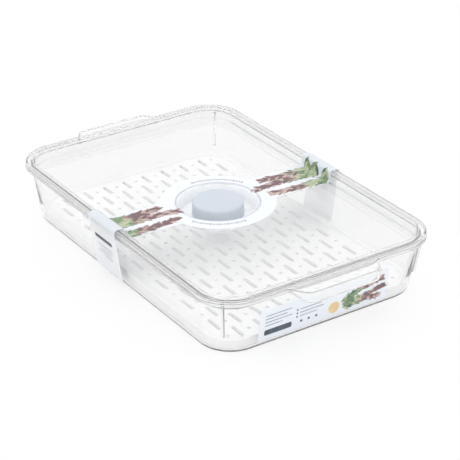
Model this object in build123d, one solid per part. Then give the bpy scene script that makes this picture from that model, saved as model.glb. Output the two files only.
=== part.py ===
from build123d import *
import math
import os

# Produce keeper for a refrigerator: a clear tub with two handles, a clear lid with a turning vent,
# and a white perforated tray that holds the produce above its drained water. Millimetres.
# X runs across, Y along with the labelled front at -Y, and +Z up.
# The origin is the centre of the face that the keeper stands on.

# Lid
lid_width = 210.0
lid_length = 317.3
lid_corner = 31.8
lid_wall = 1.5
lid_edge_height = 3.0
lid_recess = 9.6
lid_edge_round = 0.7
lid_foot_round = 1.5

# Tub
bin_height = 50.1
bin_wall = 1.7
base_width = 192.0
base_length = 295.4
base_corner = 28.0
base_round = 5.0
floor_thickness = 1.8
foot_height = 0.8
foot_width = 9.0
floor_round = 2.0
flange_proud = 0.6
flange_height = 3.3
rim_inset = 4.6
plug_gap = 0.4

# Handles, one on each short side
handle_root = 83.0
handle_tip = 66.0
handle_reach = 13.3
handle_depth = 10.2
handle_root_round = 5.0
handle_tip_round = 9.0
handle_edge_round = 0.5

# Ribs that stand out of the tub's corners
rib_width = 2.6
rib_proud = 2.5
rib_foot = 16.0

# Perforated tray
tray_gap = 3.6
tray_plate = 1.6
tray_plate_height = 5.4
tray_rim_height = 2.5
tray_wall = 1.8
tray_draft = 0.7
tray_rim_round = 1.5
slot_pitch_x = 9.8
slot_pitch_y = 18.8
slot_length = 18.4
slot_width = 3.9
slot_steps = 12
dot_diameter = 3.6
hole_margin = 5.0
tray_mark_radius = 10.5
tray_mark_width = 1.2
tray_mark_height = 0.5
tray_rib_width = 1.6
tray_rib_columns = 3.5
tray_rib_gap = 1.0
drain_notch_length = 14.0
drain_notch_height = 1.6
drain_notch_spread_x = 90.0
drain_notch_spread_y = 86.0

# Vent in the middle of the lid
dish_radius = 33.7
dish_floor_radius = 30.2
dish_depth = 10.4
dish_edge_round = 0.6
window_inner = 9.5
window_outer = 16.0
window_angle = 36.0
window_count = 4
knob_radius = 21.3
knob_rise = 1.8
knob_wall = 1.8
knob_edge_round = 2.0
knob_notch_width = 4.0
knob_notch_height = 1.6
knob_notch_count = 8
knob_gap = 0.3
stem_radius = 3.6
stem_gap = 0.1
stem_square = 4.8
gasket_thickness = 0.8
gasket_outer = 19.0
gasket_inner = 5.0
shutter_radius = 19.6
shutter_thickness = 1.6
shutter_gap = 0.2
stop_tab_angle = 10.0
stop_tab_reach = 2.2
stop_lug_angle = 8.0
stop_lug_height = 3.0
stop_gap = 0.3
vent_turn = 45.0
screw_radius = 1.5
screw_length = 8.0
screw_gap = 0.05
screw_head_radius = 4.4
screw_head_height = 1.8
screw_washer_height = 0.6
screw_drive_width = 0.7
screw_drive_depth = 1.1
screw_drive_length = 3.6
screw_pan_radius = 2.9

# Paper: a sleeve over the lid and down both long sides, and a card on the front
paper = 0.4
paper_gap = 0.1
sleeve_width = 40.0
sleeve_skew = -2.4
sleeve_shift = 1.6
sleeve_ring_radius = 48.0
sleeve_ring_gap = 1.0
sleeve_slit = 0.3
sleeve_foot_height = 5.5
sleeve_foot_gap = 2.2
card_width = 120.0
card_low = 6.0
card_high = 34.0
card_shift = -3.0
card_corner = 2.0

# Heights that follow from the sizes above
floor_top = foot_height + floor_thickness
rim_top = bin_height + lid_edge_height
panel_top = rim_top - lid_recess
panel_low = panel_top - lid_wall
flange_low = bin_height - flange_height
dish_floor_top = panel_top - dish_depth
dish_floor_low = dish_floor_top - lid_wall
gasket_low = dish_floor_low - gasket_thickness
shutter_top = gasket_low - shutter_gap
shutter_low = shutter_top - shutter_thickness
knob_top = panel_top + knob_rise
knob_low = dish_floor_top + knob_gap
tray_low = floor_top
tray_plate_top = floor_top + tray_plate_height
tray_rim_top = tray_plate_top + tray_rim_height

# Half widths that follow from the sizes above
flange_half_x = lid_width / 2 + flange_proud
flange_half_y = lid_length / 2 + flange_proud
mouth_half_x = flange_half_x - rim_inset
mouth_half_y = flange_half_y - rim_inset
mouth_corner = lid_corner + flange_proud - rim_inset
handle_edge_y = flange_half_y + handle_reach

far = 2 * lid_length


def wall_half_x(z):
    """Half width of the tub's outer face at height z."""
    return base_width / 2 + (mouth_half_x - base_width / 2) * z / bin_height


def wall_half_y(z):
    """Half length of the tub's outer face at height z."""
    return base_length / 2 + (mouth_half_y - base_length / 2) * z / bin_height


def wall_corner(z):
    """Corner radius of the tub's outer face at height z."""
    return base_corner + (mouth_corner - base_corner) * z / bin_height


def plate(half_x, half_y, corner, low, high):
    """Upright rounded block between two heights."""
    outline = RectangleRounded(2 * half_x, 2 * half_y, corner)
    return Pos(0, 0, low) * extrude(outline, high - low)


def tapered_block(low, high, grow):
    """Block with the slope of the tub's walls, grown outward from the outer face by grow."""
    sections = []
    for z in (low, high):
        half_x = wall_half_x(z) + grow
        half_y = wall_half_y(z) + grow
        corner = wall_corner(z) + grow
        sections.append(Pos(0, 0, z) * RectangleRounded(2 * half_x, 2 * half_y, corner))
    return loft(sections, ruled=True)


def disc(radius, low, high):
    """Upright cylinder on the vent's axis between two heights."""
    return Pos(0, 0, low) * extrude(Circle(radius), high - low)


def sector(inner, outer, angle, turn):
    """Flat ring sector, centred on the direction turn."""
    reach = 2 * outer
    half = math.radians(angle / 2)
    tip = (reach * math.cos(half), reach * math.sin(half))
    wedge = make_face(Polyline((0, 0), tip, (tip[0], -tip[1]), close=True))
    return Rot(0, 0, turn) * ((Circle(outer) - Circle(inner)) & wedge)


def ribbon(points, thickness):
    """Flat face of a folded strip: the points are one side, the other lies to their left."""
    side = []
    count = len(points)
    for index, (x, z) in enumerate(points):
        before = points[max(index - 1, 0)]
        after = points[min(index + 1, count - 1)]
        into = (x - before[0], z - before[1]) if index > 0 else (after[0] - x, after[1] - z)
        out = (after[0] - x, after[1] - z) if index < count - 1 else into
        a = math.atan2(into[1], into[0])
        b = math.atan2(out[1], out[0])
        middle = math.atan2(math.sin(a) + math.sin(b), math.cos(a) + math.cos(b)) + math.pi / 2
        reach = thickness / math.cos((b - a) / 2)
        side.append((x + abs(reach) * math.cos(middle), z + abs(reach) * math.sin(middle)))
    return make_face(Polyline(*points, *reversed(side), close=True))


def rim_plan():
    """Plan of the tub's flange with the two handle tabs."""
    plan = RectangleRounded(2 * flange_half_x, 2 * flange_half_y, lid_corner + flange_proud)
    root = handle_root / 2
    tip = handle_tip / 2
    inside = flange_half_y - handle_reach
    for side in (1, -1):
        corners = [(-root, side * inside), (-root, side * flange_half_y), (-tip, side * handle_edge_y)]
        corners += [(tip, side * handle_edge_y), (root, side * flange_half_y), (root, side * inside)]
        plan += make_face(Polyline(*corners, close=True))
    tips = plan.vertices().filter_by(lambda v: abs(v.Y) > handle_edge_y - 0.1)
    plan = fillet(tips, handle_tip_round)
    roots = plan.vertices().filter_by(lambda v: abs(abs(v.X) - root) < 0.1)
    roots = roots.filter_by(lambda v: abs(abs(v.Y) - flange_half_y) < 0.1)
    return fillet(roots, handle_root_round)


def make_bin():
    """Clear tub: floor, sloping walls, corner ribs, flange and the handles with their turned-down lips."""
    plan = rim_plan()
    inner_plan = offset(plan, amount=-bin_wall)
    handle_low = bin_height - handle_depth
    tall = Pos(0, 0, handle_low) * extrude(plan, handle_depth)
    rim = Pos(0, 0, flange_low) * extrude(plan, flange_height)
    for side in (1, -1):
        near = side * flange_half_y
        edge = side * handle_edge_y
        profile = [(near, flange_low), (edge, handle_low), (edge, bin_height), (near, bin_height)]
        lip = extrude(Plane.YZ * make_face(Polyline(*profile, close=True)), handle_root, both=True)
        rim += lip & tall
    rim = fillet(rim.faces().sort_by(Axis.Z)[-1].outer_wire().edges(), handle_edge_round)
    rim -= Pos(0, 0, handle_low) * extrude(inner_plan, handle_depth - bin_wall)

    walls = tapered_block(0, bin_height, 0)
    walls = fillet(walls.edges().group_by(Axis.Z)[0], base_round)
    ribs = tapered_block(rib_foot, flange_low, rib_proud)
    slab_height = flange_low - rib_foot
    for side_x in (1, -1):
        for side_y in (1, -1):
            slab = Box(4 * lid_corner, rib_width, slab_height)
            z = (rib_foot + flange_low) / 2
            corner_x = side_x * (wall_half_x(z) - wall_corner(z))
            corner_y = side_y * (wall_half_y(z) - wall_corner(z))
            slab = Pos(corner_x, corner_y, z) * Rot(0, 0, 45 * side_x * side_y) * slab
            quarter = Pos(side_x * far / 2, side_y * far / 2, z) * Box(far, far, slab_height)
            walls += slab & quarter & ribs

    hollow = tapered_block(floor_top, bin_height, -bin_wall)
    hollow = fillet(hollow.edges().group_by(Axis.Z)[0], floor_round)
    foot_x = base_width / 2 - base_round - foot_width
    foot_y = base_length / 2 - base_round - foot_width
    recess = plate(foot_x, foot_y, base_corner - base_round - foot_width, 0, foot_height)
    return rim + walls - hollow - recess


def make_lid():
    """Clear lid: rim, recess that plugs the tub's mouth, flat panel and the dish round the vent."""
    lid_half_x = lid_width / 2
    lid_half_y = lid_length / 2
    rim = plate(lid_half_x, lid_half_y, lid_corner, bin_height, rim_top)
    rim = fillet(rim.edges().group_by(Axis.Z)[-1], lid_edge_round)
    inside_x = lid_half_x - lid_wall
    inside_y = lid_half_y - lid_wall
    inside = plate(inside_x, inside_y, lid_corner - lid_wall, bin_height, rim_top - lid_wall)
    plug_grow = -bin_wall - plug_gap
    plug = tapered_block(panel_low, rim_top, plug_grow)
    plug = fillet(plug.edges().group_by(Axis.Z)[0], lid_foot_round)
    recess = tapered_block(panel_top, rim_top, plug_grow - lid_wall)
    recess = fillet(recess.edges().group_by(Axis.Z)[0], lid_foot_round)
    lid = rim - inside + plug - recess

    dish_outer = Pos(0, 0, dish_floor_low + dish_depth / 2)
    dish_outer *= Cone(dish_floor_radius + lid_wall, dish_radius + lid_wall, dish_depth)
    dish_inner = Pos(0, 0, dish_floor_top + dish_depth / 2)
    dish_inner *= Cone(dish_floor_radius, dish_radius, dish_depth)
    lid = lid + dish_outer - dish_inner
    circles = lid.edges().filter_by(GeomType.CIRCLE)
    dish_edge = circles.filter_by(lambda edge: abs(edge.radius - dish_radius) < 0.01)
    lid = fillet(dish_edge, dish_edge_round)
    lid -= disc(stem_radius + stem_gap, dish_floor_low, dish_floor_top)
    for index in range(window_count):
        window = sector(window_inner, window_outer, window_angle, index * 360 / window_count)
        lid -= Pos(0, 0, dish_floor_low) * extrude(window, lid_wall)
    for turn in stop_lug_turns():
        lug = sector(shutter_radius + stop_gap, shutter_radius + stop_tab_reach, stop_lug_angle, turn)
        lid += Pos(0, 0, dish_floor_low - stop_lug_height) * extrude(lug, stop_lug_height)
    return lid


def stop_lug_turns():
    """Directions of the two lugs that the shutter's tab meets at the ends of its turn."""
    gap_angle = math.degrees(stop_gap / shutter_radius)
    reach = stop_tab_angle / 2 + stop_lug_angle / 2 + gap_angle
    return (-reach, vent_turn + reach)


def make_vent_gasket():
    """Soft ring under the dish, with the same windows."""
    ring = Circle(gasket_outer) - Circle(gasket_inner)
    for index in range(window_count):
        ring -= sector(window_inner, window_outer, window_angle, index * 360 / window_count)
    return Pos(0, 0, gasket_low) * extrude(ring, gasket_thickness)


def make_vent_shutter():
    """Disc under the gasket that turns with the knob and covers or frees the windows."""
    plan = Circle(shutter_radius) - Rectangle(stem_square, stem_square)
    for index in range(window_count):
        turn = -vent_turn + index * 360 / window_count
        plan -= sector(window_inner, window_outer, window_angle, turn)
    plan += sector(shutter_radius / 2 + window_outer / 2, shutter_radius + stop_tab_reach, stop_tab_angle, 0)
    return Pos(0, 0, shutter_low) * extrude(plan, shutter_thickness)


def make_vent_knob():
    """Round cap with a soft top edge, air notches at its foot and the stem that carries the shutter."""
    cap = disc(knob_radius, knob_low, knob_top)
    cap = fillet(cap.edges().group_by(Axis.Z)[-1], knob_edge_round)
    cap -= disc(knob_radius - knob_wall, knob_low, knob_top - knob_wall)
    for index in range(knob_notch_count):
        notch = Box(2 * knob_wall, knob_notch_width, knob_notch_height)
        place = Pos(knob_radius - knob_wall / 2, 0, knob_low + knob_notch_height / 2)
        cap -= Rot(0, 0, (index + 0.5) * 360 / knob_notch_count) * place * notch
    cap += disc(stem_radius, dish_floor_low, knob_top - knob_wall)
    key = Rectangle(stem_square - 2 * screw_gap, stem_square - 2 * screw_gap)
    cap += Pos(0, 0, shutter_low) * extrude(key, dish_floor_low - shutter_low)
    return cap - disc(screw_radius + screw_gap, shutter_low, shutter_low + screw_length)


def make_vent_screw():
    """Screw with a washer head that holds the shutter to the stem."""
    screw = disc(screw_radius, shutter_low, shutter_low + screw_length - screw_radius)
    screw += disc(screw_head_radius, shutter_low - screw_washer_height, shutter_low)
    head_low = shutter_low - screw_washer_height - screw_head_height
    head = disc(screw_pan_radius, head_low, shutter_low - screw_washer_height)
    screw += fillet(head.edges().group_by(Axis.Z)[0], screw_head_height / 2)
    for turn in (0, 90):
        bar = Box(screw_drive_length, screw_drive_width, screw_drive_depth)
        screw -= Pos(0, 0, head_low + screw_drive_depth / 2) * Rot(0, 0, turn) * bar
    return screw


def tray_outline(z, inset):
    """Half sizes and corner radius of the tray's outer face at height z, moved in by inset."""
    rim_half_x = wall_half_x(tray_rim_top) - bin_wall - tray_gap
    rim_half_y = wall_half_y(tray_rim_top) - bin_wall - tray_gap
    corner = wall_corner(tray_rim_top) - bin_wall - tray_gap
    draft = tray_draft * (tray_rim_top - z) / (tray_rim_top - tray_low)
    move = inset + draft
    return (rim_half_x - move, rim_half_y - move, corner - move)


def tray_block(low, high, inset):
    """Block with the slope of the tray's skirt between two heights."""
    sections = []
    for z in (low, high):
        half_x, half_y, corner = tray_outline(z, inset)
        sections.append(Pos(0, 0, z) * RectangleRounded(2 * half_x, 2 * half_y, corner))
    return loft(sections, ruled=True)


def inside_tray(x, y):
    """Whether a point lies on the tray's flat field, clear of its rim and of its round mark."""
    half_x, half_y, corner = tray_outline(tray_plate_top, tray_wall + hole_margin)
    over_x = max(abs(x) - (half_x - corner), 0)
    over_y = max(abs(y) - (half_y - corner), 0)
    clear_of_rim = abs(x) <= half_x and abs(y) <= half_y and math.hypot(over_x, over_y) <= corner
    near_x = max(abs(x) - slot_width / 2, 0)
    return clear_of_rim and math.hypot(near_x, y) > tray_mark_radius + tray_mark_width


def slot_span(x, y):
    """Ends of the slot centred at a point, cut short where the rim or the mark is in its way."""
    ends = []
    straight = slot_length / 2 - slot_width / 2
    for side in (1, -1):
        reach = 0
        for step in range(slot_steps + 1):
            if not inside_tray(x, y + side * straight * step / slot_steps):
                break
            reach = straight * step / slot_steps
        ends.append(y + side * reach)
    return ends


def tray_holes():
    """Slots and dots in turn on a staggered grid."""
    half_x, half_y, corner = tray_outline(tray_plate_top, 0)
    columns = int(half_x / slot_pitch_x)
    rows = int(half_y / slot_pitch_y)
    holes = []
    for column in range(-columns, columns + 1):
        for row in range(-rows, rows + 1):
            x = column * slot_pitch_x
            y = row * slot_pitch_y
            if not inside_tray(x, y):
                continue
            if (column + row) % 2 == 1:
                holes.append(Pos(x, y) * Circle(dot_diameter / 2))
                continue
            high, low = slot_span(x, y)
            if high - low < slot_width:
                holes.append(Pos(x, (high + low) / 2) * Circle(slot_width / 2))
                continue
            slot = Rot(0, 0, 90) * SlotCenterToCenter(high - low, slot_width)
            holes.append(Pos(x, (high + low) / 2) * slot)
    return holes


def make_drain_tray():
    """White tray: perforated plate with a low rim above it and a skirt that stands on the tub's floor."""
    shell = tray_block(tray_low, tray_rim_top, 0)
    field = tray_block(tray_plate_top, tray_rim_top, tray_wall)
    field = fillet(field.edges().group_by(Axis.Z)[0], tray_rim_round)
    plate_low = tray_plate_top - tray_plate
    under = tray_block(tray_low, plate_low, tray_wall)
    tray = shell - field - under
    half_x, half_y, corner = tray_outline(plate_low, tray_wall)
    rib_low = tray_low + tray_rib_gap
    for side in (-1, 1):
        rib = Box(tray_rib_width, 2 * half_y, plate_low - rib_low)
        tray += Pos(side * tray_rib_columns * slot_pitch_x, 0, (plate_low + rib_low) / 2) * rib
    tray -= Pos(0, 0, plate_low) * extrude(Sketch() + tray_holes(), tray_plate)
    ring = Circle(tray_mark_radius) - Circle(tray_mark_radius - tray_mark_width)
    tray += Pos(0, 0, tray_plate_top) * extrude(ring, tray_mark_height)
    notch_z = tray_low + drain_notch_height / 2
    for step in (-1, 0, 1):
        across = Box(far, drain_notch_length, drain_notch_height)
        tray -= Pos(0, step * drain_notch_spread_y, notch_z) * across
    for step in (-1, 1):
        along = Box(drain_notch_length, far, drain_notch_height)
        tray -= Pos(step * drain_notch_spread_x / 2, 0, notch_z) * along
    return tray


def sleeve_mask():
    """Tall block with the sleeve's two edges, slightly out of square with the keeper."""
    mask = Box(far, sleeve_width, 4 * bin_height)
    return Pos(0, sleeve_shift, 0) * Rot(0, 0, sleeve_skew) * mask


def make_sleeve_top():
    """Paper band across the lid, with the round label about the dish."""
    plug_grow = -bin_wall - plug_gap - lid_wall
    foot = lid_foot_round + paper_gap
    slope = (mouth_half_x - base_width / 2) / bin_height
    foot_x = wall_half_x(panel_top) + plug_grow - paper_gap
    top_x = wall_half_x(rim_top) + plug_grow - paper_gap
    edge_x = lid_width / 2 + paper_gap
    right = [(foot_x - foot, panel_top), (foot_x + slope * foot, panel_top + foot), (top_x, rim_top)]
    right += [(edge_x, rim_top), (edge_x, bin_height + sleeve_slit)]
    left = [(-x, z) for x, z in reversed(right)]
    strip = extrude(Plane.XZ * ribbon(left + right, paper), lid_length / 2, both=True)
    strip &= sleeve_mask()
    label = disc(sleeve_ring_radius, panel_top, panel_top + paper)
    return strip + label - disc(dish_radius + sleeve_ring_gap, panel_top, panel_top + paper)


def make_sleeve_leg(side):
    """Paper band that hangs down one long side of the tub, from the parting line of lid and tub."""
    edge_x = flange_half_x + paper_gap
    points = [(edge_x, bin_height - sleeve_slit), (edge_x, flange_low - paper_gap)]
    points.append((wall_half_x(sleeve_foot_height) + sleeve_foot_gap, sleeve_foot_height))
    strip = extrude(Plane.XZ * ribbon(points, paper), lid_length / 2, both=True)
    if side < 0:
        strip = mirror(strip, about=Plane.YZ)
    slant = Pos(0, 0, flange_low) * Rot(side * sleeve_skew, 0, 0) * Pos(0, 0, -flange_low)
    return strip & (slant * sleeve_mask())


def make_front_card():
    """Paper card that lies on the sloping front wall under the handle."""
    low_y = -wall_half_y(card_low) - paper_gap
    high_y = -wall_half_y(card_high) - paper_gap
    strip = Plane.YZ * ribbon([(low_y, card_low), (high_y, card_high)], paper)
    card = extrude(strip, card_width / 2, both=True)
    card = fillet(card.edges().filter_by(Axis.Y, tolerance=45), card_corner)
    return Pos(card_shift, 0, 0) * card


def make_nodes():
    """Every piece of the keeper under the name of its node."""
    return {
        "bin": make_bin(),
        "lid": make_lid(),
        "drain_tray": make_drain_tray(),
        "vent_knob": make_vent_knob(),
        "vent_gasket": make_vent_gasket(),
        "vent_shutter": make_vent_shutter(),
        "vent_screw": make_vent_screw(),
        "sleeve_top": make_sleeve_top(),
        "sleeve_leg_left": make_sleeve_leg(-1),
        "sleeve_leg_right": make_sleeve_leg(1),
        "front_card": make_front_card(),
    }


os.makedirs("parts", exist_ok=True)
for name, solid in make_nodes().items():
    export_step(solid, f"parts/{name}.step")
    print(name, round(solid.volume, 1), solid.bounding_box())
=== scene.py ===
"""Looks of a lidded produce keeper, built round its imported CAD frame.

A clear tub with two handles, a clear lid with a turning vent, a white perforated tray, a paper
sleeve and a paper card. Lengths are written in millimetres and become metres in the meshes. X runs
across the keeper, Y along it with the labelled front at -Y, and Z up.
"""

import logging
import math
from dataclasses import dataclass
from enum import Enum
from typing import Iterable, Optional, Sequence

import bmesh
import bpy
import numpy as np
from mathutils import Euler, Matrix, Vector
from mathutils.geometry import delaunay_2d_cdt


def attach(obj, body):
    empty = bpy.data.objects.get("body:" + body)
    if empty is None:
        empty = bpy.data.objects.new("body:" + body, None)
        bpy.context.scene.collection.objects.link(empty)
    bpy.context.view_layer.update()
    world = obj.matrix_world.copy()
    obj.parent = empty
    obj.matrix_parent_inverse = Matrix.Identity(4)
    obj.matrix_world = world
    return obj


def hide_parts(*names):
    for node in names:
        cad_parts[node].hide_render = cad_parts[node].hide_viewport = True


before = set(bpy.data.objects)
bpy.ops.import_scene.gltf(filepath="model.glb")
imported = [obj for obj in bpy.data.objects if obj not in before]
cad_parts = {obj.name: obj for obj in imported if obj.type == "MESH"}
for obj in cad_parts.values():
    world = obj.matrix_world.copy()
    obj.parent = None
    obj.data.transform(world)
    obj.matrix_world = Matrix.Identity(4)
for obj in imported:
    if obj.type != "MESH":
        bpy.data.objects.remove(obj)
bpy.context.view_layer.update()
MM = 0.001
RING_POINTS = 240
CREASE = 32.0
PAPER_CREASE = 50.0
CLOSE, NEAR, BESIDE, CLEAR = 0.2, 0.3, 0.4, 0.5
WHITE = (1.0, 1.0, 1.0, 1.0)
LOG = logging.getLogger("produce_keeper")

Colour = tuple[float, float, float]
Span = tuple[float, float]
Point2 = tuple[float, float]
Ring = tuple[np.ndarray, object]
Drawing = dict[str, list[np.ndarray]]
Socket = bpy.types.NodeSocket
Material = bpy.types.Material
Object = bpy.types.Object


class Body(Enum):
    """The CAD bodies that pieces ride on."""

    TUB = "tub"
    COVER = "cover"
    DIAL = "vent_dial"
    TRAY = "tray"


class Slot(Enum):
    """Names of the record's material slots; no piece here is given one."""

    TUB = "clear_tub"
    LID = "clear_lid"
    TRAY = "white_tray"
    KNOB = "knob_plastic"
    SLEEVE = "sleeve_paper"
    CARD = "card_paper"


# ---------------------------------------------------------------- node trees


class Nodes:
    """A short way to add and join the nodes of one tree."""

    def __init__(self, tree: bpy.types.NodeTree) -> None:
        """Takes the tree that the nodes go into."""
        self.tree = tree

    def feed(self, node: bpy.types.Node, **inputs: object) -> None:
        """Sets or joins inputs of a node.

        Args:
            node: the node.
            **inputs: values or sockets by input name, with _ for a space, or iN for input N.
        """
        for key, value in inputs.items():
            numbered = key[0] == "i" and key[1:].isdigit()
            socket = node.inputs[int(key[1:]) if numbered else key.replace("_", " ")]
            if isinstance(value, Socket):
                self.tree.links.new(value, socket)
            else:
                socket.default_value = value

    def add(self, kind: str, settings: Optional[dict] = None, **inputs: object) -> bpy.types.Node:
        """Adds a node.

        Args:
            kind: the node's type in Blender.
            settings: properties of the node itself.
            **inputs: values or sockets, named as feed takes them.

        Returns:
            The new node.
        """
        node = self.tree.nodes.new(kind)
        for key, value in (settings or {}).items():
            setattr(node, key, value)
        self.feed(node, **inputs)
        return node

    def first(self, kind: str, settings: Optional[dict] = None, **inputs: object) -> Socket:
        """First output of a new node."""
        return self.add(kind, settings, **inputs).outputs[0]

    def maths(self, operation: str, first: object, second: object = 0.0) -> Socket:
        """Result of a Math node on two values or sockets."""
        return self.first("ShaderNodeMath", {"operation": operation}, i0=first, i1=second)

    def spread(self, value: object, low: float, high: float, to_low: float = 0.0,
               to_high: float = 1.0) -> Socket:
        """Result of a Map Range node, kept inside its ends."""
        return self.first("ShaderNodeMapRange", {"clamp": True}, i0=value, i1=low, i2=high,
                          i3=to_low, i4=to_high)

    def mix(self, share: object, first: Colour, second: Colour) -> Socket:
        """Colour between two colours."""
        node = self.add("ShaderNodeMix", {"data_type": "RGBA"}, i0=share, i6=rgba(first),
                        i7=rgba(second))
        return node.outputs[2]

    def blend(self, share: object, first: Socket, second: Socket) -> Socket:
        """Shader between two shaders."""
        return self.first("ShaderNodeMixShader", i0=share, i1=first, i2=second)

    def vector(self, **parts: object) -> Socket:
        """Vector put together from its X, Y and Z."""
        return self.first("ShaderNodeCombineXYZ", **parts)

    def noise(self, place: Socket, scale: float, detail: float, **more: float) -> Socket:
        """Noise at a place."""
        node = self.add("ShaderNodeTexNoise", Vector=place, Scale=scale, Detail=detail, **more)
        return node.outputs["Fac"]

    def bump(self, height: Socket, strength: float, distance: float) -> Socket:
        """Normals bent by a height."""
        return self.first("ShaderNodeBump", Height=height, Strength=strength, Distance=distance)

    def from_axis(self, place: Socket) -> Socket:
        """Distance of a place from the vent's axis."""
        flat = self.first("ShaderNodeVectorMath", {"operation": "MULTIPLY"}, i0=place,
                          i1=(1.0, 1.0, 0.0))
        length = self.add("ShaderNodeVectorMath", {"operation": "LENGTH"}, i0=flat)
        return length.outputs["Value"]


def rgba(colour: Colour) -> tuple[float, float, float, float]:
    """The colour with full alpha."""
    return (*colour, 1.0)


def srgb(red: int, green: int, blue: int) -> Colour:
    """Linear colour of a screen colour given in 0 to 255."""
    def one(value: int) -> float:
        """One channel of it."""
        share = value / 255
        return share / 12.92 if share <= 0.04045 else ((share + 0.055) / 1.055) ** 2.4

    return (one(red), one(green), one(blue))


# ---------------------------------------------------------------- finishes


@dataclass(frozen=True)
class Finish:
    """What every finish has: a name and the way to make its material."""

    name: str

    def make(self) -> Material:
        """The finished material."""
        material = bpy.data.materials.new(self.name)
        material.use_nodes = True
        nodes = Nodes(material.node_tree)
        place = nodes.add("ShaderNodeTexCoord").outputs["Object"]
        self.dress(nodes, nodes.tree.nodes["Principled BSDF"], place)
        return material

    def dress(self, nodes: Nodes, shader: bpy.types.Node, place: Socket) -> None:
        """Sets the shader up.

        Args:
            nodes: the material's nodes.
            shader: its Principled shader.
            place: Object coordinates.
        """
        raise NotImplementedError


@dataclass(frozen=True)
class ClearPlastic(Finish):
    """Clear moulded plastic: it bends light, takes a little of it and lets the lamps through.

    It takes dish_tint inside dish_radius. Inside a radius about the vent's axis or, without one,
    beyond a reach along Y, part of it turns whitish and diffuse: painted light that stands in for
    the white glow of refraction at the handle lips and for highlights in the dish.
    """

    tint: Colour = (0.968, 0.969, 0.97)
    dish_tint: Colour = (0.968, 0.969, 0.97)
    dish_radius: float = 0.0
    dish_fade: float = 0.5
    index: float = 1.5
    density: float = 5.0
    absorb: Colour = (0.0, 0.02, 0.03)
    pass_light: float = 0.985
    haze: float = 0.02
    haze_scale: float = 90.0
    haze_span: Span = (0.4, 0.8)
    ripple: float = 0.003
    ripple_scale: float = 14.0
    ripple_depth: float = 2.0
    milkiness: float = 0.045
    # The whitish diffuse share below is painted light: a glow for refraction and, in facets,
    # highlights.
    painted_glow_radius: float = 0.0
    painted_glow_reach: float = 0.0
    painted_glow_share: float = 0.6
    painted_glow_fade: float = 0.4
    reach_fade: float = 2.0
    # Radial facets of painted highlight in the dish.
    painted_highlight_facets: float = 11.0
    painted_highlight_span: Span = (0.1, 0.3)
    painted_facet_share: float = 0.8

    def dress(self, nodes: Nodes, shader: bpy.types.Node, place: Socket) -> None:
        """Sets the shader up, with what Finish.dress takes."""
        haze = nodes.noise(place, self.haze_scale, 4.0)
        flow = nodes.noise(place, self.ripple_scale, 2.0)
        radius = nodes.from_axis(place)
        edge = self.dish_radius * MM
        dish = nodes.spread(radius, edge, edge + self.dish_fade * MM, 1.0, 0.0)
        # The whitish diffuse share is painted light, standing in for refraction's glow and the
        # dish's highlights.
        satin = nodes.maths("MULTIPLY", self.painted_glow_zone(nodes, place, radius), self.painted_glow_share)
        nodes.feed(shader, IOR=self.index, Base_Color=nodes.mix(dish, self.tint, self.dish_tint),
                   Transmission_Weight=nodes.maths("SUBTRACT", 1.0 - self.milkiness, satin),
                   Roughness=nodes.spread(haze, *self.haze_span, 0.0, self.haze),
                   Normal=nodes.bump(flow, self.ripple, self.ripple_depth * MM))
        path = nodes.add("ShaderNodeLightPath").outputs
        lamp_ray = nodes.maths("MAXIMUM", path["Is Shadow Ray"], path["Is Diffuse Ray"])
        open_air = nodes.first("ShaderNodeBsdfTransparent", Color=rgba((self.pass_light,) * 3))
        inner = nodes.first("ShaderNodeVolumeAbsorption", Color=rgba(self.absorb),
                            Density=self.density)
        nodes.feed(nodes.tree.nodes["Material Output"], Volume=inner,
                   Surface=nodes.blend(lamp_ray, shader.outputs[0], open_air))

    def painted_glow_zone(self, nodes: Nodes, place: Socket, radius: Socket) -> Socket:
        """Where part of the plastic turns whitish and diffuse, which is painted light.

        Args:
            nodes: the material's nodes.
            place: Object coordinates.
            radius: distance from the vent's axis.

        Returns:
            1 in the zone and 0 outside it.
        """
        if self.painted_glow_radius:
            edge = self.painted_glow_radius * MM
            fade = self.painted_glow_fade * MM
            zone = nodes.spread(radius, edge - fade, edge + fade, 1.0, 0.0)
            # Radial facets of painted highlight: the whitish share swings from sector to sector.
            turn = nodes.add("ShaderNodeTexGradient", {"gradient_type": "RADIAL"}, Vector=place)
            facet = nodes.maths("MULTIPLY", turn.outputs["Fac"], self.painted_highlight_facets)
            wave = nodes.maths("PINGPONG", facet, 0.5)
            painted_facets = nodes.spread(wave, *self.painted_highlight_span, self.painted_facet_share)
            return nodes.maths("MULTIPLY", zone, painted_facets)
        along = nodes.add("ShaderNodeSeparateXYZ", Vector=place).outputs["Y"]
        edge = self.painted_glow_reach * MM
        return nodes.spread(nodes.maths("ABSOLUTE", along), edge, edge + self.reach_fade * MM)


@dataclass(frozen=True)
class Moulded(Finish):
    """Opaque moulded plastic or rubber with a fine grain and a faint unevenness of colour."""

    colour: Colour
    roughness: float = 0.45
    roughness_swing: float = 0.04
    grain: float = 0.06
    grain_scale: float = 1400.0
    grain_depth: float = 0.4
    cloud_scale: float = 22.0
    cloud_span: Span = (0.35, 0.65)
    rough_span: Span = (0.3, 0.7)
    unevenness: float = 0.03

    def dress(self, nodes: Nodes, shader: bpy.types.Node, place: Socket) -> None:
        """Sets the shader up, with what Finish.dress takes."""
        cloud = nodes.noise(place, self.cloud_scale, 3.0)
        grain = nodes.noise(place, self.grain_scale, 2.0)
        dull = tuple(value * (1 - self.unevenness) for value in self.colour)
        rough = nodes.spread(cloud, *self.rough_span, self.roughness - self.roughness_swing,
                             self.roughness + self.roughness_swing)
        share = nodes.spread(cloud, *self.cloud_span)
        nodes.feed(shader, Base_Color=nodes.mix(share, dull, self.colour), Roughness=rough,
                   Normal=nodes.bump(grain, self.grain, self.grain_depth * MM))


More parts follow.
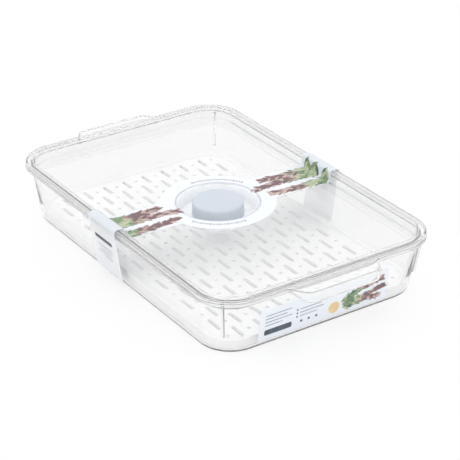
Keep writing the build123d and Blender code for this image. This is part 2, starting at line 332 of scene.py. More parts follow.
@dataclass(frozen=True)
class BrushedSteel(Finish):
    """Turned stainless steel with fine rings."""

    colour: Colour = (0.62, 0.62, 0.63)
    ring_scale: float = 900.0
    ring_wander: float = 0.4
    ring_shade: float = 0.8
    roughness: Span = (0.25, 0.4)

    def dress(self, nodes: Nodes, shader: bpy.types.Node, place: Socket) -> None:
        """Sets the shader up, with what Finish.dress takes."""
        wave = nodes.add("ShaderNodeTexWave", {"wave_type": "RINGS", "rings_direction": "Z"},
                         Vector=place, Scale=self.ring_scale, Distortion=self.ring_wander)
        rings = wave.outputs["Fac"]
        dark = tuple(value * self.ring_shade for value in self.colour)
        nodes.feed(shader, Metallic=1.0, Base_Color=nodes.mix(rings, dark, self.colour),
                   Roughness=nodes.spread(rings, 0.0, 1.0, *self.roughness))


@dataclass(frozen=True)
class Paper(Finish):
    """Coated card with faint fibres, which may have another colour near the vent's axis."""

    colour: Colour
    middle: Optional[Colour] = None
    middle_radius: float = 0.0
    fade: float = 12.0
    glow: float = 0.3
    glow_reach: float = 2.0
    fibre_scale: float = 1800.0
    fibre_colour: Colour = (0.75, 0.76, 0.78)
    fibre_span: Span = (0.3, 0.7)
    fibre_share: float = 0.05
    fibre_relief: float = 0.08
    fibre_depth: float = 0.2
    roughness: Span = (0.4, 0.52)

    def dress(self, nodes: Nodes, shader: bpy.types.Node, place: Socket) -> None:
        """Sets the shader up, with what Finish.dress takes."""
        # The colour away from the middle can carry painted shade: on the sleeve band it darkens
        # towards and over the rim.
        start = self.middle_radius * MM
        away = nodes.spread(nodes.from_axis(place), start, start + self.fade * MM)
        base = nodes.mix(away, self.middle or self.colour, self.colour)
        fibre = nodes.noise(place, self.fibre_scale, 5.0, Roughness=0.7)
        worn = nodes.add("ShaderNodeMix", {"data_type": "RGBA", "blend_type": "MULTIPLY"},
                         i0=nodes.spread(fibre, *self.fibre_span, self.fibre_share, 0.0),
                         i6=base, i7=rgba(self.fibre_colour))
        nodes.feed(shader, Base_Color=worn.outputs[2],
                   Roughness=nodes.spread(fibre, *self.fibre_span, *self.roughness),
                   Normal=nodes.bump(fibre, self.fibre_relief, self.fibre_depth * MM),
                   Subsurface_Weight=self.glow, Subsurface_Scale=1.0,
                   Subsurface_Radius=(self.glow_reach * MM,) * 3)


@dataclass(frozen=True)
class Ink(Finish):
    """Printed colour that wanders between two inks in small soft strokes."""

    first: Colour
    second: Colour
    scale: float = 260.0
    wander: float = 1.2
    stroke_span: Span = (0.4, 0.58)
    roughness: Span = (0.4, 0.5)

    def dress(self, nodes: Nodes, shader: bpy.types.Node, place: Socket) -> None:
        """Sets the shader up, with what Finish.dress takes."""
        stroke = nodes.noise(place, self.scale, 3.0, Distortion=self.wander)
        share = nodes.spread(stroke, *self.stroke_span)
        nodes.feed(shader, Base_Color=nodes.mix(share, self.first, self.second),
                   Roughness=nodes.spread(share, 0.0, 1.0, *self.roughness))


# ---------------------------------------------------------------- meshes


def in_scene(name: str, data: object) -> Object:
    """A new object with its data, linked to the scene."""
    made = bpy.data.objects.new(name, data)
    bpy.context.scene.collection.objects.link(made)
    return made


def enclosed(mesh: bpy.types.Mesh) -> float:
    """Signed volume inside a mesh."""
    mesh.calc_loop_triangles()
    corners = np.array([vertex.co for vertex in mesh.vertices])
    triangles = corners[np.array([triangle.vertices for triangle in mesh.loop_triangles])]
    crosses = np.cross(triangles[:, 1], triangles[:, 2])
    return float(np.einsum("ij,ij->i", triangles[:, 0], crosses).sum() / 6)


def shade(mesh: bpy.types.Mesh, crease: float) -> None:
    """Turns the faces outwards and smooths what bends by less than the crease in degrees."""
    if enclosed(mesh) < 0:
        mesh.flip_normals()
    mesh.shade_smooth()
    mesh.set_sharp_from_angle(angle=math.radians(crease))


def new_piece(name: str, points: np.ndarray, faces: Sequence[Sequence[int]],
              crease: float = CREASE) -> Object:
    """A closed mesh object with its faces pointing outwards.

    Args:
        name: the piece's name.
        points: places in millimetres.
        faces: corner numbers of each face.
        crease: edges that turn by more than this many degrees stay sharp.

    Returns:
        The object.
    """
    mesh = bpy.data.meshes.new(name)
    mesh.from_pydata((np.asarray(points) * MM).tolist(), [], [list(face) for face in faces])
    mesh.update()
    shade(mesh, crease)
    return in_scene(name, mesh)


def finish_piece(piece: Object, material: Material, body: Body,
                 stands_for: Optional[str] = None) -> None:
    """Gives a piece its material and its body, and hides the CAD node that it stands for.

    Args:
        piece: the piece.
        material: its material.
        body: the CAD body that it rides on.
        stands_for: the CAD node that it replaces.
    """
    piece.data.materials.clear()
    piece.data.materials.append(material)
    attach(piece, body.value)
    if stands_for is not None:
        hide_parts(stands_for)
    LOG.info("%s: %d faces on body %s", piece.name, len(piece.data.polygons), body.value)


def dress_node(name: str, material: Material) -> None:
    """Gives a CAD node that stays in view its material."""
    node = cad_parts[name]
    if not node.material_slots:
        node.data.materials.append(material)
    for slot in node.material_slots:
        slot.material = material
    LOG.info("%s: CAD node dressed", name)


class Loft:
    """Rings with the same count of points, joined one to the next into one closed skin.

    Where a flat face meets a rounded edge, a ring stands CLOSE, NEAR, BESIDE or CLEAR of the
    round, which keeps the flat's shading flat.
    """

    def __init__(self) -> None:
        """Starts with no ring."""
        self.rings: list[np.ndarray] = []

    def add(self, plan: np.ndarray, height: object) -> int:
        """Adds a ring.

        Args:
            plan: the ring seen from above.
            height: one height, or one for each point.

        Returns:
            The ring's number.
        """
        heights = np.broadcast_to(np.asarray(height, float), (len(plan),))
        self.rings.append(np.column_stack([plan, heights]))
        return len(self.rings) - 1

    def stack(self, rings: Iterable[Ring]) -> int:
        """Adds rings, each a plan with its height, and gives the last one's number."""
        for plan, height in rings:
            self.add(plan, height)
        return len(self.rings) - 1

    def turned(self, profile: Iterable[Point2], count: int = RING_POINTS) -> int:
        """Adds circles, each a radius with its height, and gives the last one's number."""
        return self.stack((circle(radius, count), height) for radius, height in profile)

    def faces(self, looped: bool, skip: Sequence[tuple[int, int]] = ()) -> list[list[int]]:
        """Faces between the rings.

        Args:
            looped: True if the last ring joins the first, False if both ends are closed by a
                flat face.
            skip: faces that are left out, by ring and step.

        Returns:
            Corner numbers of each face.
        """
        count, total = len(self.rings[0]), len(self.rings)
        left_out = set(skip)
        made = []
        for ring in range(total if looped else total - 1):
            here, above = ring * count, (ring + 1) % total * count
            for step in range(count):
                after = (step + 1) % count
                if (ring, step) not in left_out:
                    made.append([here + step, here + after, above + after, above + step])
        if not looped:
            made.append(list(range(count))[::-1])
            made.append([(total - 1) * count + step for step in range(count)])
        return made

    def points(self) -> np.ndarray:
        """All the rings' points."""
        return np.concatenate(self.rings)


def bend(centre: Point2, radius: float, start: float, end: float, steps: int) -> list[Point2]:
    """Points on an arc from one direction to another, in degrees.

    Args:
        centre: the arc's centre.
        radius: its radius.
        start: direction of the first point.
        end: direction of the last point.
        steps: count of points less one.

    Returns:
        The points in order.
    """
    turns = np.radians(np.linspace(start, end, steps + 1))
    x, y = centre
    return [(x + radius * math.cos(turn), y + radius * math.sin(turn)) for turn in turns]


# ---------------------------------------------------------------- outlines


@dataclass(frozen=True)
class Handle:
    """A handle tab as it is seen from above."""

    root: float = 41.5
    tip: float = 33.0
    reach: float = 13.3
    root_round: float = 5.0
    tip_round: float = 9.0
    root_steps: int = 6
    tip_steps: int = 7
    side_shares: tuple[float, ...] = (0.0, 0.02, 0.3, 0.65, 0.96)
    lean_shares: tuple[float, ...] = (0.0, 0.35, 0.7)
    flat_shares: tuple[float, ...] = (1.0, 0.97, 0.6, 0.3, 0.0)

    def quarter(self, end: float) -> list[tuple[float, float, Point2]]:
        """The tab's outline from the corner to the middle.

        Args:
            end: where the short side's straight part begins.

        Returns:
            Place across, reach beyond the side and outward direction of each point.
        """
        lean = math.atan2(self.reach, self.tip - self.root)
        turn = math.pi - lean
        trim_root = self.root_round * math.tan(turn / 2)
        trim_tip = self.tip_round * math.tan(turn / 2)
        start = self.root + trim_root
        spots = [(end + (start - end) * share, 0.0, (0.0, 1.0)) for share in self.side_shares]
        for step in range(self.root_steps):
            angle = math.radians(-90) - turn * step / self.root_steps
            cos, sin = math.cos(angle), math.sin(angle)
            spots.append((start + self.root_round * cos, self.root_round + self.root_round * sin,
                          (-cos, -sin)))
        first = (self.root + trim_root * math.cos(lean), trim_root * math.sin(lean))
        last = (self.tip - trim_tip * math.cos(lean), self.reach - trim_tip * math.sin(lean))
        normal = (math.sin(lean), -math.cos(lean))
        for share in self.lean_shares:
            spots.append((first[0] + (last[0] - first[0]) * share,
                          first[1] + (last[1] - first[1]) * share, normal))
        middle = (last[0] - self.tip_round * normal[0], last[1] - self.tip_round * normal[1])
        begin = math.atan2(normal[1], normal[0])
        for step in range(self.tip_steps):
            angle = begin + (math.pi / 2 - begin) * step / self.tip_steps
            cos, sin = math.cos(angle), math.sin(angle)
            spots.append((middle[0] + self.tip_round * cos, middle[1] + self.tip_round * sin,
                          (cos, sin)))
        return spots + [(middle[0] * share, self.reach, (0.0, 1.0)) for share in self.flat_shares]


SIDE_SHARES = (*np.linspace(0.0, 0.96, 15), 0.985, 0.995)
CORNER_TURNS = (0, 6, 12, 18, 24, 31, 38, None, None, 45, None, None, 52, 59, 66, 72, 78, 84)
RIB_HALF = 1.3
RIB_EDGE = 0.4
RIB_SHOULDER = 0.7
STEEPEST = 0.9
HANDLE = Handle()


def outline(half_x: float, half_y: float, corner: float, rib: float = 0.0, with_tab: bool = False,
            move: float = 0.0) -> np.ndarray:
    """A rounded rectangle of 240 points, alike on all four quarters.

    Args:
        half_x: half width.
        half_y: half length.
        corner: corner radius.
        rib: how far the corner ribs stand out.
        with_tab: True if the handles stand out.
        move: how far the whole outline moves outward.

    Returns:
        Places seen from above, from +X towards +Y.
    """
    places = [(half_x, share * (half_y - corner)) for share in SIDE_SHARES]
    away = [(1.0, 0.0)] * len(places)
    reach = max(corner, 1.0)
    wide, near = (math.degrees(math.asin(min(STEEPEST, half / reach)))
                  for half in (RIB_HALF, RIB_HALF - RIB_EDGE))
    shoulder = RIB_SHOULDER * rib
    ribs = iter(((45 - wide, 0.0), (45 - near, shoulder), (45 + near, shoulder), (45 + wide, 0.0)))
    middle = (half_x - corner, half_y - corner)
    for turn in CORNER_TURNS:
        angle, proud = (turn, rib if turn == 45 else 0.0) if turn is not None else next(ribs)
        x, y = math.cos(math.radians(angle)), math.sin(math.radians(angle))
        push = proud * math.sqrt(0.5)
        places.append((middle[0] + corner * x + push, middle[1] + corner * y + push))
        away.append((x, y))
    for x, extra, normal in HANDLE.quarter(half_x - corner):
        places.append((x, half_y + (extra if with_tab else 0.0)))
        away.append(normal if with_tab else (0.0, 1.0))
    quarter = np.array(places) + move * np.array(away)
    quarter[0, 1] = 0.0
    quarter[-1, 0] = 0.0
    flipped = quarter[::-1] * (-1, 1)
    return np.concatenate([quarter[:-1], flipped[:-1], -quarter[:-1], (flipped * -1)[:-1]])


def circle(radius: float, count: int = RING_POINTS) -> np.ndarray:
    """A circle of points, from +X towards +Y."""
    turns = np.linspace(0, 2 * math.pi, count, endpoint=False)
    return radius * np.column_stack([np.cos(turns), np.sin(turns)])


@dataclass(frozen=True)
class Shell:
    """The sloping walls that tub and lid share."""

    base_x: float = 96.0
    base_y: float = 147.7
    base_corner: float = 28.0
    mouth_x: float = 101.0
    mouth_y: float = 154.65
    mouth_corner: float = 27.8
    height: float = 50.1
    foot_turn: float = 84.0

    def sizes(self, z: float, grow: float = 0.0) -> tuple[float, float, float]:
        """Half width, half length and corner radius of the wall at a height, grown outward."""
        share = z / self.height
        return (
            self.base_x + (self.mouth_x - self.base_x) * share + grow,
            self.base_y + (self.mouth_y - self.base_y) * share + grow,
            self.base_corner + (self.mouth_corner - self.base_corner) * share + grow,
        )

    def ring(self, z: float, grow: float = 0.0, rib: float = 0.0) -> np.ndarray:
        """Outline of the wall at a height."""
        return outline(*self.sizes(z, grow), rib=rib)

    def level(self, z: float, grow: float = 0.0) -> Ring:
        """Outline of the wall at a height, with that height."""
        return self.ring(z, grow), z

    def foot(self, low: float, round_radius: float, grow: float, steps: int) -> list[Ring]:
        """Rings round the edge between a flat floor and the sloping wall.

        Args:
            low: height of the floor's face.
            round_radius: radius of the edge.
            grow: how far the wall is grown outward.
            steps: count of rings less one.

        Returns:
            Outlines with their heights, from the flat part to the wall.
        """
        rings = []
        slopes = ((self.mouth_x - self.base_x) / self.height,
                  (self.mouth_y - self.base_y) / self.height)
        for step in range(steps + 1):
            angle = math.radians(-90 + self.foot_turn * step / steps)
            z = low + round_radius + round_radius * math.sin(angle)
            half = []
            for slope, base in zip(slopes, (self.base_x, self.base_y)):
                wall = base + slope * (low + round_radius) + grow
                middle = wall - round_radius * math.sqrt(1 + slope * slope)
                half.append(min(middle + round_radius * math.cos(angle), base + slope * z + grow))
            corner = self.sizes(z, grow)[2] - (self.sizes(z, grow)[0] - half[0])
            rings.append((outline(half[0], half[1], corner), z))
        return rings


# ---------------------------------------------------------------- tub


@dataclass
class Tub:
    """Clear tub with corner ribs, a hollow flange and two handles with turned-down lips."""

    shell: Shell
    wall: float = 1.7
    floor_low: float = 0.8
    floor_top: float = 2.6
    foot_width: float = 9.0
    foot_face: float = 1.0
    foot_edge: float = 1.2
    base_round: float = 5.0
    wall_start: float = 7.0
    floor_round: float = 2.0
    flange_x: float = 105.6
    flange_y: float = 159.25
    flange_corner: float = 32.4
    flange_height: float = 3.3
    rib_proud: float = 2.5
    rib_foot: float = 16.0
    rib_edge: float = 0.4
    rib_end: float = 0.6
    rib_step: float = 0.05
    lip_slope: float = 6.9 / 13.3
    lip_round: float = 0.4
    edge_round: float = 0.5
    mouth_round: float = 0.4
    corner_run: float = 0.7
    soft: float = 0.3
    seat_gap: float = 0.05

    def flange(self, move: float) -> np.ndarray:
        """Outline of the flange with its handles, moved outward."""
        return outline(self.flange_x, self.flange_y, self.flange_corner, with_tab=True, move=move)

    def lip(self, move: float, up: float) -> Ring:
        """Outline of the flange, moved outward, at a height above its lower edge."""
        plan = self.flange(move)
        over = np.maximum(np.abs(plan[:, 1]) - self.flange_y, 0)
        return plan, self.shell.height - self.flange_height - over * self.lip_slope + up

    def foot(self) -> list[Ring]:
        """Rings from the raised floor's underside over the foot that the tub stands on."""
        shell, soft = self.shell, self.soft
        inner = [value - self.base_round - self.foot_width
                 for value in (shell.base_x, shell.base_y, shell.base_corner)]
        low = self.floor_low
        profile = ((-self.foot_edge, low), (-soft, low), (0.0, low - soft), (0.0, soft),
                   (soft, 0.0), (self.foot_face, 0.0))
        return [(outline(*[value + out for value in inner]), z) for out, z in profile]

    def build(self) -> Object:
        """The tub's mesh, from under its floor up the outside and down the inside."""
        shell, wall, edge, tip = self.shell, self.wall, self.edge_round, self.lip_round
        top = shell.height - self.seat_gap
        under = top - wall
        low, high = self.rib_foot, shell.height - self.flange_height
        proud, rim = self.rib_proud, self.rib_edge
        loft = Loft()
        loft.stack(self.foot())
        loft.stack(shell.foot(0.0, self.base_round, 0.0, 8))
        start, end, step = self.wall_start, high - self.rib_end, self.rib_step
        ribbed = ((start, 0.0, start), (low, 0.0, low), (low + rim, proud - rim, low + step),
                  (low + rim, proud, low + self.rib_end), (end, proud, end),
                  (high, proud - rim, high - step), (high, 0.0, high),
                  (under - CLEAR, 0.0, under - CLEAR))
        loft.stack((shell.ring(at, rib=rib), z) for at, rib, z in ribbed)
        run = self.corner_run
        loft.stack([(shell.ring(under, NEAR), under - 0.1), (shell.ring(under, run), under),
                    (self.flange(-wall - CLEAR), under), (self.flange(-wall), under - CLEAR),
                    self.lip(-wall, tip + CLOSE)])
        loft.stack(self.lip(out, z) for out, z in bend((-wall + tip, tip), tip, 180, 270, 3))
        loft.stack(self.lip(out, z) for out, z in bend((-tip, tip), tip, 270, 360, 3))
        loft.stack([self.lip(0.0, tip + NEAR), (self.flange(0.0), top - edge - NEAR)])
        loft.stack((self.flange(out), top + z) for out, z in bend((-edge, -edge), edge, 0, 90, 3))
        loft.stack([(self.flange(-edge - NEAR), top), shell.level(top, -wall + run)])
        mouth = self.mouth_round
        loft.stack(shell.level(top + z, -wall + out)
                   for out, z in bend((mouth, -mouth), mouth, 90, 180, 3))
        loft.stack([shell.level(top - 2 * mouth, -wall),
                    shell.level(self.floor_top + self.floor_round + BESIDE, -wall)])
        loft.stack(shell.foot(self.floor_top, self.floor_round, -wall, 6)[::-1])
        loft.add(*shell.level(self.floor_top, -wall - self.floor_round - CLEAR))
        return new_piece("tub_shell", loft.points(), loft.faces(False))


# ---------------------------------------------------------------- lid


@dataclass
class Lid:
    """Clear lid: raised rim, plug that fills the tub's mouth, flat panel and the vent's dish."""

    shell: Shell
    wall: float = 1.5
    half_x: float = 105.0
    half_y: float = 158.65
    corner: float = 31.8
    top: float = 53.1
    low: float = 50.1
    edge_round: float = 1.2
    inner_round: float = 1.4
    skirt_round: float = 0.35
    panel: float = 43.5
    plug_gap: float = 0.4
    tub_wall: float = 1.7
    foot_round: float = 0.4
    foot_round_low: float = 0.3
    dish_radius: float = 33.7
    dish_floor_radius: float = 30.2
    dish_depth: float = 10.4
    dish_lean: int = 18
    dish_steps: int = 4
    dish_flat: float = 1.6
    dish_foot_round: float = 1.2
    dish_foot_out: float = 0.35
    dish_foot_out_low: float = 0.25
    dish_edge_round: float = 0.75
    dish_edge_in: float = 0.15
    dish_edge_flat: float = 1.2
    dish_edge_flat_low: float = 1.4
    dish_brim: Point2 = (0.55, 1.4)
    hole: float = 3.7
    window_inner: float = 9.5
    window_outer: float = 16.0
    window_half: float = 18.0
    windows: int = 4
    seat_gap: float = 0.05

    def rim(self, move: float) -> np.ndarray:
        """Outline of the lid's rim, moved outward."""
        return outline(self.half_x, self.half_y, self.corner, move=move)

    def build(self) -> Object:
        """The lid's mesh, from the dish's floor over the rim and back below."""
        shell, wall = self.shell, self.wall
        floor = self.panel - self.dish_depth
        loft = Loft()
        hole, inner, outer = self.hole, self.window_inner, self.window_outer
        upper = loft.turned((radius, floor) for radius in (hole, hole + CLEAR, inner))
        loft.turned((radius, floor)
                    for radius in (outer, outer + BESIDE, self.dish_floor_radius - self.dish_flat))
        deep, edge = self.dish_foot_round, self.dish_edge_round
        lean, steps = self.dish_lean, self.dish_steps
        loft.turned((self.dish_floor_radius + self.dish_foot_out + out, floor + z)
                    for out, z in bend((-deep, deep), deep, 270, 360 - lean, steps))
        loft.turned([(self.dish_radius - self.dish_brim[0], self.panel - self.dish_brim[1])])
        loft.turned((self.dish_radius - self.dish_edge_in + out, self.panel + z)
                    for out, z in bend((edge, -edge), edge, 180 - lean, 90, steps))
        loft.turned([(self.dish_radius + self.dish_edge_flat, self.panel)])
        self.recess(loft)
        self.skirt(loft)
        low, under = self.panel - wall, floor - wall
        bowl = self.dish_radius + wall
        loft.turned([(bowl + self.dish_edge_flat_low, low), (bowl + BESIDE, low),
                     (bowl - 0.1, low - CLEAR),
                     (self.dish_floor_radius + wall + self.dish_foot_out, under + deep)])
        loft.turned((self.dish_floor_radius + wall + self.dish_foot_out_low + out, under + z)
                    for out, z in bend((-deep, deep), deep, 360 - lean, 270, steps))
        lower = loft.turned((radius, under) for radius in (outer + BESIDE, outer))
        loft.turned((radius, under) for radius in (inner, hole + CLEAR, hole))
        faces = self.window_faces(upper, lower)
        skip = [(ring, step) for ring in (upper, lower) for steps in self.window_steps()
                for step in steps[:-1]]
        return new_piece("lid_shell", loft.points(), loft.faces(True, skip) + faces)

    def recess(self, loft: Loft) -> None:
        """Adds the panel's edge, the recess's wall and the rim's upper face.

        Args:
            loft: the lid's skin so far.
        """
        shell, top, foot = self.shell, self.top, self.foot_round
        grow = -self.tub_wall - self.plug_gap - self.wall
        loft.add(*shell.level(self.panel, grow - foot - BESIDE))
        loft.stack(shell.foot(self.panel, foot, grow, 6))
        inner, outer = self.inner_round, self.edge_round
        loft.stack([shell.level(self.panel + foot + BESIDE, grow),
                    shell.level(top - inner - NEAR, grow)])
        loft.stack(shell.level(top + z, grow + out)
                   for out, z in bend((inner, -inner), inner, 180, 90, 6))
        loft.stack([shell.level(top, grow + inner + BESIDE), (self.rim(-outer - BESIDE), top)])
        loft.stack((self.rim(out), top + z) for out, z in bend((-outer, -outer), outer, 90, 0, 4))
        loft.add(self.rim(0.0), top - outer - NEAR)

    def skirt(self, loft: Loft) -> None:
        """Adds the rim's lower edge, its underside and the plug's outside.

        Args:
            loft: the lid's skin so far.
        """
        shell, wall, tip, foot = self.shell, self.wall, self.skirt_round, self.foot_round_low
        low = self.low + self.seat_gap
        loft.add(self.rim(0.0), low + tip + CLOSE)
        for centre, start in ((-tip, 0), (-wall + tip, 270)):
            loft.stack((self.rim(out), low + z)
                       for out, z in bend((centre, tip), tip, start, start - 90, 3))
        under, panel_low = self.top - wall, self.panel - wall
        plug = -self.tub_wall - self.plug_gap
        loft.stack([(self.rim(-wall), under - BESIDE), (self.rim(-wall - BESIDE), under),
                    shell.level(under, plug + CLEAR), shell.level(under - CLEAR, plug),
                    shell.level(panel_low + foot + BESIDE, plug)])
        loft.stack(shell.foot(panel_low, foot, plug, 6)[::-1])
        loft.add(*shell.level(panel_low, plug - foot - BESIDE))

    def window_steps(self) -> list[list[int]]:
        """Steps of each window's two ends and what lies between them."""
        half = round(self.window_half * RING_POINTS / 360)
        apart = RING_POINTS // self.windows
        return [[(window * apart + turn) % RING_POINTS for turn in range(-half, half + 1)]
                for window in range(self.windows)]

    def window_faces(self, upper: int, lower: int) -> list[list[int]]:
        """Walls of the windows in the dish's floor.

        Args:
            upper: number of the ring at the windows' inner radius on the upper face.
            lower: number of the ring at their outer radius on the lower face.

        Returns:
            Corner numbers of each face.
        """
        inner_top, outer_top = upper * RING_POINTS, (upper + 1) * RING_POINTS
        outer_low, inner_low = lower * RING_POINTS, (lower + 1) * RING_POINTS
        faces = []
        for steps in self.window_steps():
            for here, there in zip(steps, steps[1:]):
                faces.append([inner_top + here, inner_top + there, inner_low + there,
                              inner_low + here])
                faces.append([outer_top + there, outer_top + here, outer_low + here,
                              outer_low + there])
            first, last = steps[0], steps[-1]
            faces.append([inner_low + first, outer_low + first, outer_top + first,
                          inner_top + first])
            faces.append([inner_top + last, outer_top + last, outer_low + last, inner_low + last])
        return faces


# ---------------------------------------------------------------- geometry nodes


class Tree(Nodes):
    """A Geometry Nodes tree with a geometry on either end and named numbers."""

    def __init__(self, name: str, inputs: dict[str, float]) -> None:
        """Makes the tree with its inputs.

        Args:
            name: the tree's name.
            inputs: the named numbers with their values.
        """
        tree = bpy.data.node_groups.new(name, "GeometryNodeTree")
        tree.interface.new_socket("Geometry", in_out="INPUT", socket_type="NodeSocketGeometry")
        self.values = inputs
        for key in inputs:
            tree.interface.new_socket(key, in_out="INPUT", socket_type="NodeSocketFloat")
        tree.interface.new_socket("Geometry", in_out="OUTPUT", socket_type="NodeSocketGeometry")
        super().__init__(tree)
        self.start = self.add("NodeGroupInput")

    def given(self, name: str) -> Socket:
        """One of the tree's inputs."""
        return self.start.outputs[name]

    def named(self, name: str, kind: str = "FLOAT") -> Socket:
        """An attribute of the mesh by name."""
        return self.first("GeometryNodeInputNamedAttribute", {"data_type": kind}, Name=name)

    def compare(self, operation: str, first: object, second: object) -> Socket:
        """Whether two numbers compare as asked."""
        return self.first("FunctionNodeCompare", {"operation": operation}, i0=first, i1=second)

    def join(self, *parts: Socket) -> Socket:
        """Several geometries as one."""
        node = self.add("GeometryNodeJoinGeometry")
        for part in parts:
            self.tree.links.new(part, node.inputs[0])
        return node.outputs[0]

    def real(self, geometry: Socket) -> Socket:
        """Instances made mesh or curve."""
        return self.first("GeometryNodeRealizeInstances", Geometry=geometry)

    def lift(self, geometry: Socket, height: object) -> Socket:
        """A geometry moved up."""
        place = self.vector(Z=height)
        return self.first("GeometryNodeTransform", Geometry=geometry, Translation=place)

    def cut(self, *cutters: Socket) -> Socket:
        """The tree's geometry with the cutters taken out of it."""
        node = self.add("GeometryNodeMeshBoolean", {"operation": "DIFFERENCE", "solver": "EXACT"},
                        i0=self.given("Geometry"))
        self.tree.links.new(self.join(*cutters), node.inputs[1])
        return node.outputs[0]

    def end(self, geometry: Socket, material: Material) -> None:
        """Ends the tree: instances become mesh and the mesh gets its material."""
        dressed = self.first("GeometryNodeSetMaterial", Geometry=self.real(geometry),
                             Material=material)
        self.add("NodeGroupOutput", Geometry=dressed)

    def run(self, source: Object) -> None:
        """Runs the tree on an object and keeps the result as its plain mesh.

        Args:
            source: the object, which ends without a modifier.
        """
        modifier = source.modifiers.new("nodes", "NODES")
        modifier.node_group = self.tree
        for item in self.tree.interface.items_tree:
            if item.in_out == "INPUT" and item.name in self.values:
                modifier[item.identifier] = self.values[item.name]
        bpy.context.view_layer.update()
        graph = bpy.context.evaluated_depsgraph_get()
        result = bpy.data.meshes.new_from_object(source.evaluated_get(graph), depsgraph=graph)
        source.modifiers.remove(modifier)
        source.data = result
        solid = bmesh.new()
        solid.from_mesh(result)
        bmesh.ops.recalc_face_normals(solid, faces=solid.faces[:])
        loose = sum(1 for edge in solid.edges if not edge.is_manifold)
        solid.to_mesh(result)
        solid.free()
        shade(result, CREASE)
        LOG.info("%s: tree %s made %d faces with %d open edges", source.name, self.tree.name,
                 len(result.polygons), loose)


# ---------------------------------------------------------------- tray


